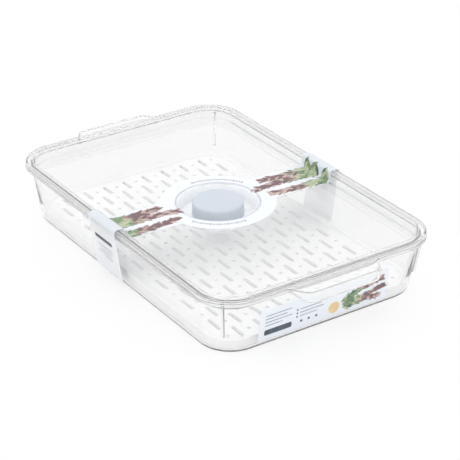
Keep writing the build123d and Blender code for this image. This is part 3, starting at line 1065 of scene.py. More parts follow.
@dataclass
class Tray:
    """White tray: low rim, skirt and a plate with staggered slots and dots."""

    material: Material
    low: float = 2.6
    rim_top: float = 10.5
    plate_top: float = 8.0
    plate: float = 1.6
    wall: float = 1.8
    draft: float = 0.7
    half_x: float = 91.748
    half_y: float = 143.857
    corner: float = 22.658
    field_round: float = 1.5
    rim_round: float = 0.6
    soft: float = 0.3
    pitch_x: float = 9.8
    pitch_y: float = 18.8
    columns: int = 9
    rows: int = 7
    shortest: float = 0.1
    slot_length: float = 18.4
    slot_width: float = 3.9
    slot_steps: int = 12
    slot_end_share: float = 0.495
    slot_end_points: int = 6
    dot: float = 3.6
    dot_points: int = 20
    hole_draft: float = 0.7
    margin: float = 5.0
    merge: float = 0.01
    mark_radius: float = 10.5
    mark_width: float = 1.2
    mark_height: float = 0.5
    mark_round: float = 0.2
    rib_x: float = 34.3
    rib_width: float = 1.6
    rib_low: float = 3.6
    sunk: float = 0.3
    notch_length: float = 14.0
    notch_height: float = 1.6
    notch_depth: float = 12.0
    notch_y: float = 86.0
    notch_x: float = 45.0

    def sizes(self, z: float, inset: float = 0.0) -> tuple[float, float, float]:
        """Half width, half length and corner radius at a height, moved inward."""
        lean = self.draft * (self.rim_top - z) / (self.rim_top - self.low) + inset
        return self.half_x - lean, self.half_y - lean, self.corner - lean

    def on_field(self, x: float, y: float) -> bool:
        """Whether a place lies on the flat field, clear of the rim and of the round mark.

        Args:
            x: place across.
            y: place along.

        Returns:
            True if a hole may lie there.
        """
        half_x, half_y, corner = self.sizes(self.plate_top, self.wall + self.margin)
        over_x = max(abs(x) - (half_x - corner), 0)
        over_y = max(abs(y) - (half_y - corner), 0)
        inside = abs(x) <= half_x and abs(y) <= half_y and math.hypot(over_x, over_y) <= corner
        near_x = max(abs(x) - self.slot_width / 2, 0)
        return inside and math.hypot(near_x, y) > self.mark_radius + self.mark_width

    def span(self, x: float, y: float) -> tuple[float, float]:
        """Ends of the slot centred at a place, cut short where rim or mark is in its way.

        Args:
            x: place across.
            y: place along.

        Returns:
            Where it begins and where it ends along Y.
        """
        straight = self.slot_length / 2 - self.slot_width / 2
        ends = []
        for side in (1, -1):
            reach = 0.0
            for step in range(self.slot_steps + 1):
                if not self.on_field(x, y + side * straight * step / self.slot_steps):
                    break
                reach = straight * step / self.slot_steps
            ends.append(y + side * reach)
        return ends[1], ends[0]

    def holes(self) -> list[tuple[float, float, float]]:
        """Places of the holes with their whole lengths, 0 for a dot."""
        found = []
        for column in range(-self.columns, self.columns + 1):
            for row in range(-self.rows, self.rows + 1):
                x, y = column * self.pitch_x, row * self.pitch_y
                if not self.on_field(x, y):
                    continue
                if (column + row) % 2:
                    found.append((x, y, 0.0))
                    continue
                low, high = self.span(x, y)
                length = max(high - low, self.shortest) + self.slot_width
                found.append((x, (low + high) / 2, length))
        return found

    def shell(self) -> tuple[Loft, int]:
        """Rim and skirt, open where the plate joins them, and the number of the last ring."""
        loft = Loft()
        wall, soft, edge, radius = self.wall, self.soft, self.rim_round, self.field_round
        low, top, plate_top = self.low, self.rim_top, self.plate_top
        under = plate_top - self.plate
        field = outline(*self.sizes(plate_top, wall + radius + CLEAR))
        profile = ((under, wall + BESIDE, under), (under - BESIDE, wall, under - BESIDE),
                   (low + soft, wall, low + soft), (low, wall - soft, low), (low, soft, low),
                   (low + soft, 0.0, low + soft), (top - edge - CLOSE, 0.0, top - edge - CLOSE))
        loft.add(field, under)
        loft.stack((outline(*self.sizes(at, inset)), z) for at, inset, z in profile)
        for centre, start in ((-edge, 0), (-wall + edge, 90)):
            loft.stack((outline(*self.sizes(top, -out)), top + z)
                       for out, z in bend((centre, -edge), edge, start, start + 90, 4))
        loft.stack((outline(*self.sizes(plate_top, -out)), plate_top + z)
                   for out, z in bend((-wall - radius, radius), radius, 0, -90, 6))
        return loft, loft.add(field, plate_top)

    def tree(self) -> Tree:
        """Geometry Nodes that cut slots and dots out of the plate and close it to the rim."""
        tree = Tree("perforated_plate", {
            "Plate top": self.plate_top * MM, "Plate thickness": self.plate * MM,
            "Slot width": self.slot_width * MM, "Slot length": self.slot_length * MM,
            "Dot": self.dot * MM, "Hole draft": self.hole_draft * MM, "Merge": self.merge * MM,
        })
        given = tree.given
        parted = tree.add("GeometryNodeSeparateGeometry", {"domain": "POINT"},
                          Geometry=given("Geometry"),
                          Selection=tree.compare("GREATER_THAN", tree.named("hole"), 0.5))
        places, shell = parted.outputs["Selection"], parted.outputs["Inverted"]
        span = tree.named("span")
        is_slot = tree.compare("GREATER_THAN", span, 0.1 * MM)
        is_dot = tree.compare("LESS_EQUAL", span, 0.1 * MM)
        box = tree.first("GeometryNodeCurvePrimitiveQuadrilateral", Width=given("Slot width"),
                         Height=given("Slot length"))
        end_radius = tree.maths("MULTIPLY", given("Slot width"), self.slot_end_share)
        slot = tree.first("GeometryNodeFilletCurve", {"mode": "POLY"}, Curve=box,
                          Count=self.slot_end_points, Radius=end_radius, Limit_Radius=True)
        dot = tree.first("GeometryNodeCurvePrimitiveCircle", Resolution=self.dot_points,
                         Radius=tree.maths("MULTIPLY", given("Dot"), 0.5))
        stretch = tree.vector(X=1.0, Y=tree.maths("DIVIDE", span, given("Slot length")), Z=1.0)
        whole_draft = tree.maths("MULTIPLY", given("Hole draft"), 2.0)

        def narrowed(size: str) -> Socket:
            """Share that is left of a hole's size at the plate's underside."""
            return tree.maths("SUBTRACT", 1.0, tree.maths("DIVIDE", whole_draft, given(size)))

        shapes = ((slot, tree.vector(X=narrowed("Slot width"), Y=narrowed("Slot length"), Z=1.0)),
                  (dot, tree.vector(X=narrowed("Dot"), Y=narrowed("Dot"), Z=1.0)))

        def at_holes(slot_shape: Socket, dot_shape: Socket) -> Socket:
            """One shape at every slot and one at every dot."""
            slots = tree.first("GeometryNodeInstanceOnPoints", Points=places, Selection=is_slot,
                               Instance=slot_shape, Scale=stretch)
            dots = tree.first("GeometryNodeInstanceOnPoints", Points=places, Selection=is_dot,
                              Instance=dot_shape)
            return tree.real(tree.join(slots, dots))

        def tube(shape: Socket, share: Socket) -> Socket:
            """A hole's wall, which narrows from the plate's face to its underside."""
            wall = tree.first("GeometryNodeExtrudeMesh", {"mode": "EDGES"},
                              Mesh=tree.first("GeometryNodeCurveToMesh", Curve=shape),
                              Offset=tree.vector(Z=-1.0), Offset_Scale=given("Plate thickness"))
            place = tree.first("GeometryNodeInputPosition")
            height = tree.add("ShaderNodeSeparateXYZ", Vector=place).outputs["Z"]
            lower = tree.compare("LESS_THAN", height, -self.plate / 2 * MM)
            pulled = tree.first("ShaderNodeVectorMath", {"operation": "MULTIPLY"}, i0=place,
                                i1=share)
            return tree.first("GeometryNodeSetPosition", Geometry=wall, Selection=lower,
                              Position=pulled)

        rim = tree.first("GeometryNodeMeshToCurve", Mesh=shell,
                         Selection=tree.named("plate_edge", "BOOLEAN"))
        plate_top = given("Plate top")
        narrow = [tree.first("GeometryNodeTransform", Geometry=shape, Scale=share)
                  for shape, share in shapes]
        upper, lower = (
            tree.first("GeometryNodeFillCurve",
                       Curve=tree.join(rim, tree.lift(at_holes(*outlines), plate_top)))
            for outlines in ((slot, dot), narrow))
        bottom = tree.lift(lower, tree.maths("SUBTRACT", plate_top, given("Plate thickness")))
        walls = tree.lift(at_holes(*[tube(shape, share) for shape, share in shapes]), plate_top)
        joined = tree.join(shell, tree.lift(upper, plate_top),
                           tree.first("GeometryNodeFlipFaces", Mesh=bottom), walls)
        tree.end(tree.first("GeometryNodeMergeByDistance", Geometry=joined,
                            Distance=given("Merge")), self.material)
        return tree

    def notch_tree(self) -> Tree:
        """Geometry Nodes that take the drain notches out of the skirt."""
        tree = Tree("drain_notches", {
            "Length": self.notch_length * MM, "Height": self.notch_height * 2 * MM,
            "Depth": self.notch_depth * MM,
        })
        length, height, depth = (tree.given(name) for name in ("Length", "Height", "Depth"))
        along_y = tree.vector(X=depth, Y=length, Z=height)
        along_x = tree.vector(X=length, Y=depth, Z=height)
        boxes = []
        for side in (-1, 1):
            spots = [(side * self.half_x, y, along_y) for y in (-self.notch_y, 0.0, self.notch_y)]
            spots += [(x, side * self.half_y, along_x) for x in (-self.notch_x, self.notch_x)]
            for x, y, size in spots:
                boxes.append(tree.first("GeometryNodeTransform",
                                        Geometry=tree.first("GeometryNodeMeshCube", Size=size),
                                        Translation=(x * MM, y * MM, self.low * MM)))
        tree.end(tree.cut(*boxes), self.material)
        return tree

    def build(self) -> Object:
        """The tray's mesh."""
        loft, last = self.shell()
        faces = [face for face in loft.faces(False) if len(face) == 4]
        holes = self.holes()
        points = np.concatenate([loft.points(), [(x, y, 0.0) for x, y, _ in holes]])
        mesh = bpy.data.meshes.new("perforated_tray")
        mesh.from_pydata((points * MM).tolist(), [], faces)
        first_hole = len(points) - len(holes)
        is_hole = mesh.attributes.new("hole", "FLOAT", "POINT")
        span = mesh.attributes.new("span", "FLOAT", "POINT")
        for index, (_, _, length) in enumerate(holes, first_hole):
            is_hole.data[index].value = 1.0
            span.data[index].value = length * MM
        edge = mesh.attributes.new("plate_edge", "BOOLEAN", "EDGE")
        for item in mesh.edges:
            ends = [vertex // RING_POINTS for vertex in item.vertices]
            edge.data[item.index].value = ends[0] == ends[1] == last
        tray = in_scene("perforated_tray", mesh)
        self.tree().run(tray)
        self.notch_tree().run(tray)
        LOG.info("perforated_tray: %d holes", len(holes))
        return tray

    def extras(self) -> Object:
        """The round mark on the plate and the two ribs beneath it."""
        foot, top = self.plate_top - self.sunk, self.plate_top + self.mark_height
        middle = self.mark_radius - self.mark_width / 2
        half, edge = self.mark_width / 2, self.mark_round
        loft = Loft()
        loft.turned((middle + out, z) for out, z in (
            (-half, foot), (-half, top - edge), (-half + edge, top), (half - edge, top),
            (half, top - edge), (half, foot)))
        points, faces = [loft.points()], loft.faces(True)
        under = self.plate_top - self.plate
        half_y = self.sizes(under, self.wall - self.sunk)[1]
        for side in (-1, 1):
            count = sum(len(part) for part in points)
            box = [(side * self.rib_x + a * self.rib_width / 2, b * half_y, z)
                   for z in (self.rib_low, under + self.sunk)
                   for a, b in ((-1, -1), (1, -1), (1, 1), (-1, 1))]
            points.append(np.array(box))
            faces += [[count + corner for corner in face][::-1] for face in (
                (3, 2, 1, 0), (4, 5, 6, 7), (0, 1, 5, 4), (1, 2, 6, 5), (2, 3, 7, 6), (3, 0, 4, 7))]
        return new_piece("tray_mark_and_ribs", np.concatenate(points), faces)


# ---------------------------------------------------------------- vent knob


@dataclass
class Knob:
    """Round hollow knob with a soft upper edge, a stem and small grip notches at its foot."""

    material: Material
    radius: float = 21.3
    low: float = 33.4
    top: float = 45.3
    wall: float = 1.8
    edge_round: float = 2.0
    inner_round: float = 0.6
    stem: float = 3.6
    stem_low: float = 31.6
    key: float = 2.4
    key_low: float = 29.0
    bore: float = 1.55
    bore_top: float = 37.0
    centre: float = 0.4
    face: float = 6.0
    chamfer: float = 0.1
    points: int = 160
    notch_count: int = 8
    notch_width: float = 4.0
    notch_height: float = 1.6
    notch_depth: float = 4.0

    def lathe(self) -> Object:
        """The turned body, from its bore down the stem, up its inside and over its outside."""
        radius, low, top, cut = self.radius, self.low, self.top, self.chamfer
        inner, ceiling = radius - self.wall, top - self.wall
        soft, edge = self.inner_round, self.edge_round
        profile = [
            (self.centre, self.bore_top), (self.bore, self.bore_top),
            (self.bore, self.key_low + CLOSE), (self.bore + CLOSE, self.key_low),
            (self.key - cut, self.key_low), (self.key, self.key_low + cut),
            (self.key, self.stem_low), (self.stem - cut, self.stem_low),
            (self.stem, self.stem_low + cut), (self.stem, ceiling - BESIDE),
            (self.stem + BESIDE, ceiling), (inner - soft - CLOSE, ceiling),
            *bend((inner - soft, ceiling - soft), soft, 90, 0, 3),
            (inner, low + CLOSE), (inner + CLOSE, low),
            (radius - NEAR, low), (radius, low + NEAR), (radius, top - edge - NEAR),
            *bend((radius - edge, top - edge), edge, 0, 90, 10),
            (radius - edge - 0.6, top), (self.face, top), (self.centre, top),
        ]
        loft = Loft()
        loft.turned(profile, self.points)
        return new_piece("knob_cap", loft.points(), loft.faces(False))

    def notches(self) -> Tree:
        """Geometry Nodes that take the grip notches out of the knob's foot."""
        tree = Tree("grip_notches", {
            "Radius": (self.radius - self.wall / 2) * MM, "Low": self.low * MM,
            "Width": self.notch_width * MM, "Height": self.notch_height * 2 * MM,
            "Depth": self.notch_depth * MM,
        })
        half_step = math.pi / self.notch_count
        ring = tree.first("GeometryNodeMeshCircle", Vertices=self.notch_count,
                          Radius=tree.given("Radius"))
        turned = tree.first("GeometryNodeTransform", Geometry=ring, Rotation=(0.0, 0.0, half_step))
        step = tree.maths("MULTIPLY", tree.first("GeometryNodeInputIndex"), 2 * half_step)
        size = tree.vector(X=tree.given("Depth"), Y=tree.given("Width"), Z=tree.given("Height"))
        boxes = tree.first("GeometryNodeInstanceOnPoints", Points=turned,
                           Instance=tree.first("GeometryNodeMeshCube", Size=size),
                           Rotation=tree.vector(Z=tree.maths("ADD", step, half_step)))
        tree.end(tree.cut(tree.real(tree.lift(boxes, tree.given("Low")))), self.material)
        return tree

    def build(self) -> Object:
        """The knob's mesh. It casts no shadow, because the photograph shows none below it."""
        knob = self.lathe()
        self.notches().run(knob)
        knob.visible_shadow = False
        return knob


# ---------------------------------------------------------------- paper


SHEET = 0.4
INK_LOW = 0.405
FOLD_STEP = 9.0
FOLD_MARGIN = 0.05
FOLD_OVERRUN = 0.5


class Fold:
    """The line that paper follows across the keeper, with rounded folds.

    Flat places are given by the length along the line and by Y, or by X for the front card.
    """

    def __init__(self, corners: Sequence[Point2], rounds: Sequence[float],
                 along: str = "x") -> None:
        """Makes the line.

        Args:
            corners: the line's corners as (reach, height).
            rounds: fold radius at each inner corner.
            along: the axis that the reach is measured on, x, -x or -y.
        """
        self.along = along
        spots = [np.array(corner, float) for corner in corners]
        line = [spots[0]]
        for before, corner, after, radius in zip(spots, spots[1:], spots[2:], rounds):
            line += self.arc(before, corner, after, radius)
        line.append(spots[-1])
        self.line = np.array(line)
        steps = np.linalg.norm(np.diff(self.line, axis=0), axis=1)
        self.lengths = np.concatenate([[0.0], np.cumsum(steps)])
        tangent = np.gradient(self.line, self.lengths, axis=0)
        tangent /= np.linalg.norm(tangent, axis=1)[:, None]
        self.normals = np.column_stack([-tangent[:, 1], tangent[:, 0]])

    @staticmethod
    def arc(before: np.ndarray, corner: np.ndarray, after: np.ndarray,
            radius: float) -> list[np.ndarray]:
        """Points of the rounded fold at a corner.

        Args:
            before: the corner before it.
            corner: the corner.
            after: the corner after it.
            radius: the fold's radius.

        Returns:
            The fold's points in order.
        """
        into = (corner - before) / np.linalg.norm(corner - before)
        out = (after - corner) / np.linalg.norm(after - corner)
        turn = math.acos(float(np.clip(into @ out, -1, 1)))
        first = corner - into * (radius * math.tan(turn / 2))
        steps = max(3, round(math.degrees(turn) / FOLD_STEP))
        side = np.array([-into[1], into[0]])
        side *= math.copysign(1.0, float(side @ out))
        centre = first + side * radius
        x, y = first - centre
        sign = math.copysign(1.0, float(into[0] * out[1] - into[1] * out[0]))
        points = []
        for step in range(steps + 1):
            angle = sign * turn * step / steps
            cos, sin = math.cos(angle), math.sin(angle)
            points.append(centre + np.array([x * cos - y * sin, x * sin + y * cos]))
        return points

    def spot(self, lengths: np.ndarray) -> tuple[np.ndarray, np.ndarray]:
        """Reach and height, and the outward direction, at lengths along the line."""
        place, away = (
            np.column_stack([np.interp(lengths, self.lengths, known[:, axis]) for axis in (0, 1)])
            for known in (self.line, self.normals))
        return place, away / np.linalg.norm(away, axis=1)[:, None]

    def wrap(self, flat: np.ndarray, lift: float) -> np.ndarray:
        """Flat places as places on the keeper, lifted off the line.

        Args:
            flat: places on the flat paper.
            lift: how far off the line.

        Returns:
            One place in 3-D for each.
        """
        place, away = self.spot(flat[:, 0])
        reach, height = (place + away * lift).T
        if self.along == "-y":
            return np.column_stack([flat[:, 1], -reach, height])
        return np.column_stack([reach if self.along == "x" else -reach, flat[:, 1], height])


def in_loop(loop: np.ndarray, places: np.ndarray) -> np.ndarray:
    """Which places lie inside a closed loop.

    Args:
        loop: the loop's corners.
        places: the places.

    Returns:
        True for each place inside.
    """
    x, y = places[:, 0][:, None], places[:, 1][:, None]
    ax, ay = loop[:, 0], loop[:, 1]
    bx, by = np.roll(ax, -1), np.roll(ay, -1)
    crosses = (ay > y) != (by > y)
    rise = np.where(by == ay, 1.0, by - ay)
    return (np.sum(crosses & (x < ax + (y - ay) / rise * (bx - ax)), axis=1) % 2) == 1


def paper_sheet(name: str, fold: Fold, loops: Sequence[np.ndarray],
                cuts: Sequence[np.ndarray] = (), low: float = 0.0, high: float = SHEET,
                within: Optional[np.ndarray] = None) -> Object:
    """A thin closed sheet on a folded line.

    Args:
        name: the piece's name.
        fold: the line that it follows.
        loops: outlines in the flat; what lies in any of them is paper.
        cuts: outlines of what is cut out.
        low: height of its inner face off the line.
        high: height of its outer face off the line.
        within: an outline that the sheet stays in.

    Returns:
        The piece.
    """
    spots: list[Vector] = []
    edges: list[tuple[int, int]] = []
    for loop in [*loops, *cuts, *([] if within is None else [within])]:
        first = len(spots)
        spots += [Vector((float(x), float(y))) for x, y in loop]
        edges += [(first + step, first + (step + 1) % len(loop)) for step in range(len(loop))]
    every = np.concatenate([*loops])
    (low_s, low_t), (high_s, high_t) = every.min(axis=0), every.max(axis=0)
    for length in fold.lengths[1:-1]:
        if low_s + FOLD_MARGIN < length < high_s - FOLD_MARGIN:
            edges.append((len(spots), len(spots) + 1))
            spots += [Vector((float(length), float(end)))
                      for end in (low_t - FOLD_OVERRUN, high_t + FOLD_OVERRUN)]
    result = delaunay_2d_cdt(spots, edges, [], 0, 1e-5)
    flat = np.array([tuple(place) for place in result[0]])
    triangles = np.array([face for face in result[2] if len(face) == 3])
    middles = flat[triangles].mean(axis=1)
    kept = np.zeros(len(triangles), bool)
    for loop in loops:
        kept |= in_loop(np.asarray(loop), middles)
    for loop in cuts:
        kept &= ~in_loop(np.asarray(loop), middles)
    if within is not None:
        kept &= in_loop(within, middles)
    triangles = triangles[kept]
    used, renumbered = np.unique(triangles, return_inverse=True)
    triangles, flat = renumbered.reshape(triangles.shape), flat[used]
    count = len(flat)
    points = np.concatenate([fold.wrap(flat, low), fold.wrap(flat, high)])
    border = {(int(a), int(b)) for face in triangles for a, b in zip(face, np.roll(face, -1))}
    faces = [[count + corner for corner in face] for face in triangles.tolist()]
    faces += [face[::-1] for face in triangles.tolist()]
    faces += [[count + b, count + a, a, b] for a, b in sorted(border) if (b, a) not in border]
    return new_piece(name, points, faces, PAPER_CREASE)


# ---------------------------------------------------------------- printed motifs


def placed(shape: np.ndarray, place: Sequence[float], heading: float) -> np.ndarray:
    """A flat shape turned to a heading in radians and moved to its place."""
    cos, sin = math.cos(heading), math.sin(heading)
    return np.asarray(place) + shape @ np.array([[cos, sin], [-sin, cos]])


LEAF_STEPS = 9
LEAF_BELLY = 0.8
LEAF_FULLNESS = 0.9
BAR_CUT = 0.35


def leaf(base: np.ndarray, heading: float, length: float, width: float,
         curl: float = 0.0) -> np.ndarray:
    """Outline of a pointed leaf.

    Args:
        base: where it starts.
        heading: direction in radians.
        length: its length.
        width: its greatest width.
        curl: how far its tip bends to the left.

    Returns:
        The closed outline.
    """
    along = np.linspace(0, 1, LEAF_STEPS)
    half = width / 2 * np.sin(math.pi * along ** LEAF_BELLY) ** LEAF_FULLNESS
    middle = curl * along ** 2
    right = np.column_stack([along * length, middle - half])
    left = np.column_stack([along * length, middle + half])[::-1]
    return placed(np.concatenate([right, left[1:-1]]), base, heading)


def bar(centre: Point2, length: float, height: float, heading: float = 0.0) -> np.ndarray:
    """Outline of a short bar with cut corners.

    Args:
        centre: its middle.
        length: its first side.
        height: its second side.
        heading: its turn in radians.

    Returns:
        The closed outline.
    """
    a, b = length / 2, height / 2
    c = min(a, b) * BAR_CUT
    shape = np.array([(-a + c, -b), (a - c, -b), (a, -b + c), (a, b - c), (a - c, b), (-a + c, b),
                      (-a, b - c), (-a, -b + c)])
    return placed(shape, centre, heading)


def disc(centre: Point2, radius: float, count: int = 40) -> np.ndarray:
    """Outline of a disc."""
    return np.array(centre) + circle(radius, count)


@dataclass
class Sprig:
    """A bent stem with leaves on both sides, green at its foot and mauve towards its tip."""

    start: Point2
    end: Point2
    bow: float
    leaf_length: float
    leaf_width: float
    spacing: float
    seed: int
    turn_low: float = 0.35
    turn_high: float = 0.75
    stem_points: int = 16
    stem_reach: float = 0.96
    stem_foot: float = 0.75
    stem_tip: float = 0.25
    leaf_turn: Span = (12.0, 44.0)
    leaf_growth: Span = (0.75, 1.1)
    leaf_breadth: Span = (0.85, 1.15)
    leaf_curl: float = 0.8
    last_leaf: float = 0.9
    foot_inks: tuple[str, ...] = ("dark", "green", "green", "pale", "dark")
    tip_inks: tuple[str, ...] = ("mauve", "rose", "mauve", "plum")

    def on_stem(self, share: float) -> np.ndarray:
        """Place on the stem at a share of its length."""
        start = np.array(self.start, float)
        run = np.array(self.end, float) - start
        side = np.array([-run[1], run[0]]) / float(np.linalg.norm(run))
        return start + run * share + side * self.bow * 4 * share * (1 - share)

    def heading(self, first: float, last: float) -> float:
        """Direction in radians from one place on the stem to another."""
        ahead = self.on_stem(last) - self.on_stem(first)
        return math.atan2(ahead[1], ahead[0])

    def stem(self) -> np.ndarray:
        """Outline of the stem, which narrows towards its tip."""
        middle = np.array([self.on_stem(share)
                           for share in np.linspace(0, self.stem_reach, self.stem_points)])
        heading = np.gradient(middle, axis=0)
        heading /= np.linalg.norm(heading, axis=1)[:, None]
        across = np.column_stack([-heading[:, 1], heading[:, 0]])
        half = np.linspace(self.stem_foot, self.stem_tip, self.stem_points)[:, None]
        return np.concatenate([middle - across * half, (middle + across * half)[::-1]])

    def parts(self) -> Drawing:
        """Outlines by ink."""
        luck = np.random.default_rng(self.seed)
        inks: Drawing = {"stem": [self.stem()]}
        length = float(np.linalg.norm(np.array(self.end, float) - np.array(self.start, float)))
        count = int(length / self.spacing)
        for index in range(count):
            share = (index + 0.5) / count
            turn = (1 if index % 2 else -1) * math.radians(luck.uniform(*self.leaf_turn))
            size = self.leaf_length * luck.uniform(*self.leaf_growth) * (1.05 - 0.4 * share)
            width = self.leaf_width * luck.uniform(*self.leaf_breadth)
            shape = leaf(self.on_stem(share), self.heading(share, min(share + 0.02, 1.0)) + turn,
                         size, width, luck.uniform(-self.leaf_curl, self.leaf_curl))
            near_tip = share > luck.uniform(self.turn_low, self.turn_high)
            family = self.tip_inks if near_tip else self.foot_inks
            ink = family[int(luck.integers(len(family)))]
            inks.setdefault(ink, []).append(shape)
        last = self.last_leaf
        inks.setdefault("mauve", []).append(leaf(
            self.on_stem(last), self.heading(last, 1.0), self.leaf_length * last, self.leaf_width))
        return inks


def gathered(sprigs: Iterable[Sprig]) -> Drawing:
    """The outlines of several sprigs by ink."""
    drawn: Drawing = {}
    for sprig in sprigs:
        for ink, loops in sprig.parts().items():
            drawn.setdefault(ink, []).extend(loops)
    return drawn


# ---------------------------------------------------------------- sleeve and card


INKS = {
    "stem": ("stem_ink", 0.43, (120, 140, 90), (150, 160, 110), 260.0),
    "dark": ("dark_leaf_ink", 0.44, (44, 70, 64), (104, 132, 114), 1100.0),
    "green": ("leaf_ink", 0.45, (76, 112, 88), (156, 174, 132), 1100.0),
    "pale": ("pale_leaf_ink", 0.46, (142, 168, 132), (206, 204, 176), 1100.0),
    "mauve": ("mauve_leaf_ink", 0.47, (128, 98, 98), (186, 158, 154), 1000.0),
    "rose": ("rose_leaf_ink", 0.48, (172, 142, 138), (218, 198, 192), 1000.0),
    "plum": ("plum_leaf_ink", 0.49, (88, 66, 72), (140, 110, 112), 1000.0),
    "lilac": ("lilac_ink", 0.45, (176, 186, 212), (190, 198, 220), 120.0),
    "slate": ("slate_ink", 0.45, (62, 72, 84), (78, 88, 100), 120.0),
    "grey": ("grey_ink", 0.45, (140, 146, 160), (165, 170, 182), 120.0),
    "tan": ("tan_ink", 0.45, (236, 208, 164), (228, 198, 152), 120.0),
}


class Inks:
    """The printed inks, made once."""

    def __init__(self) -> None:
        """Makes the materials."""
        self.heights: dict[str, float] = {}
        self.materials: dict[str, Material] = {}
        for key, (name, height, first, second, scale) in INKS.items():
            self.heights[key] = height
            self.materials[key] = Ink(name, srgb(*first), srgb(*second), scale).make()

    def lay(self, name: str, ink: str, fold: Fold, loops: Sequence[np.ndarray], body: Body,
            cuts: Sequence[np.ndarray] = (), within: Optional[np.ndarray] = None) -> None:
        """Lays shapes of one ink on a folded sheet.

        Args:
            name: the piece's name.
            ink: the ink.
            fold: the line that the sheet follows.
            loops: outlines of the shapes.
            body: the body that the sheet rides on.
            cuts: outlines of what is left out of them.
            within: outline of the sheet that the shapes stay in.
        """
        piece = paper_sheet(name, fold, loops, cuts, INK_LOW, self.heights[ink], within)
        finish_piece(piece, self.materials[ink], body)

    def print_on(self, name: str, fold: Fold, drawn: Drawing, body: Body,
                 within: Optional[np.ndarray] = None) -> None:
        """Lays printed shapes on a folded sheet, one piece for each ink.

        Args:
            name: start of the pieces' names.
            fold: the line that the sheet follows.
            drawn: outlines by ink.
            body: the body that the sheet rides on.
            within: outline of the sheet that the shapes stay in.
        """
        for ink, loops in drawn.items():
            self.lay(f"{name}_{ink}", ink, fold, loops, body, within=within)


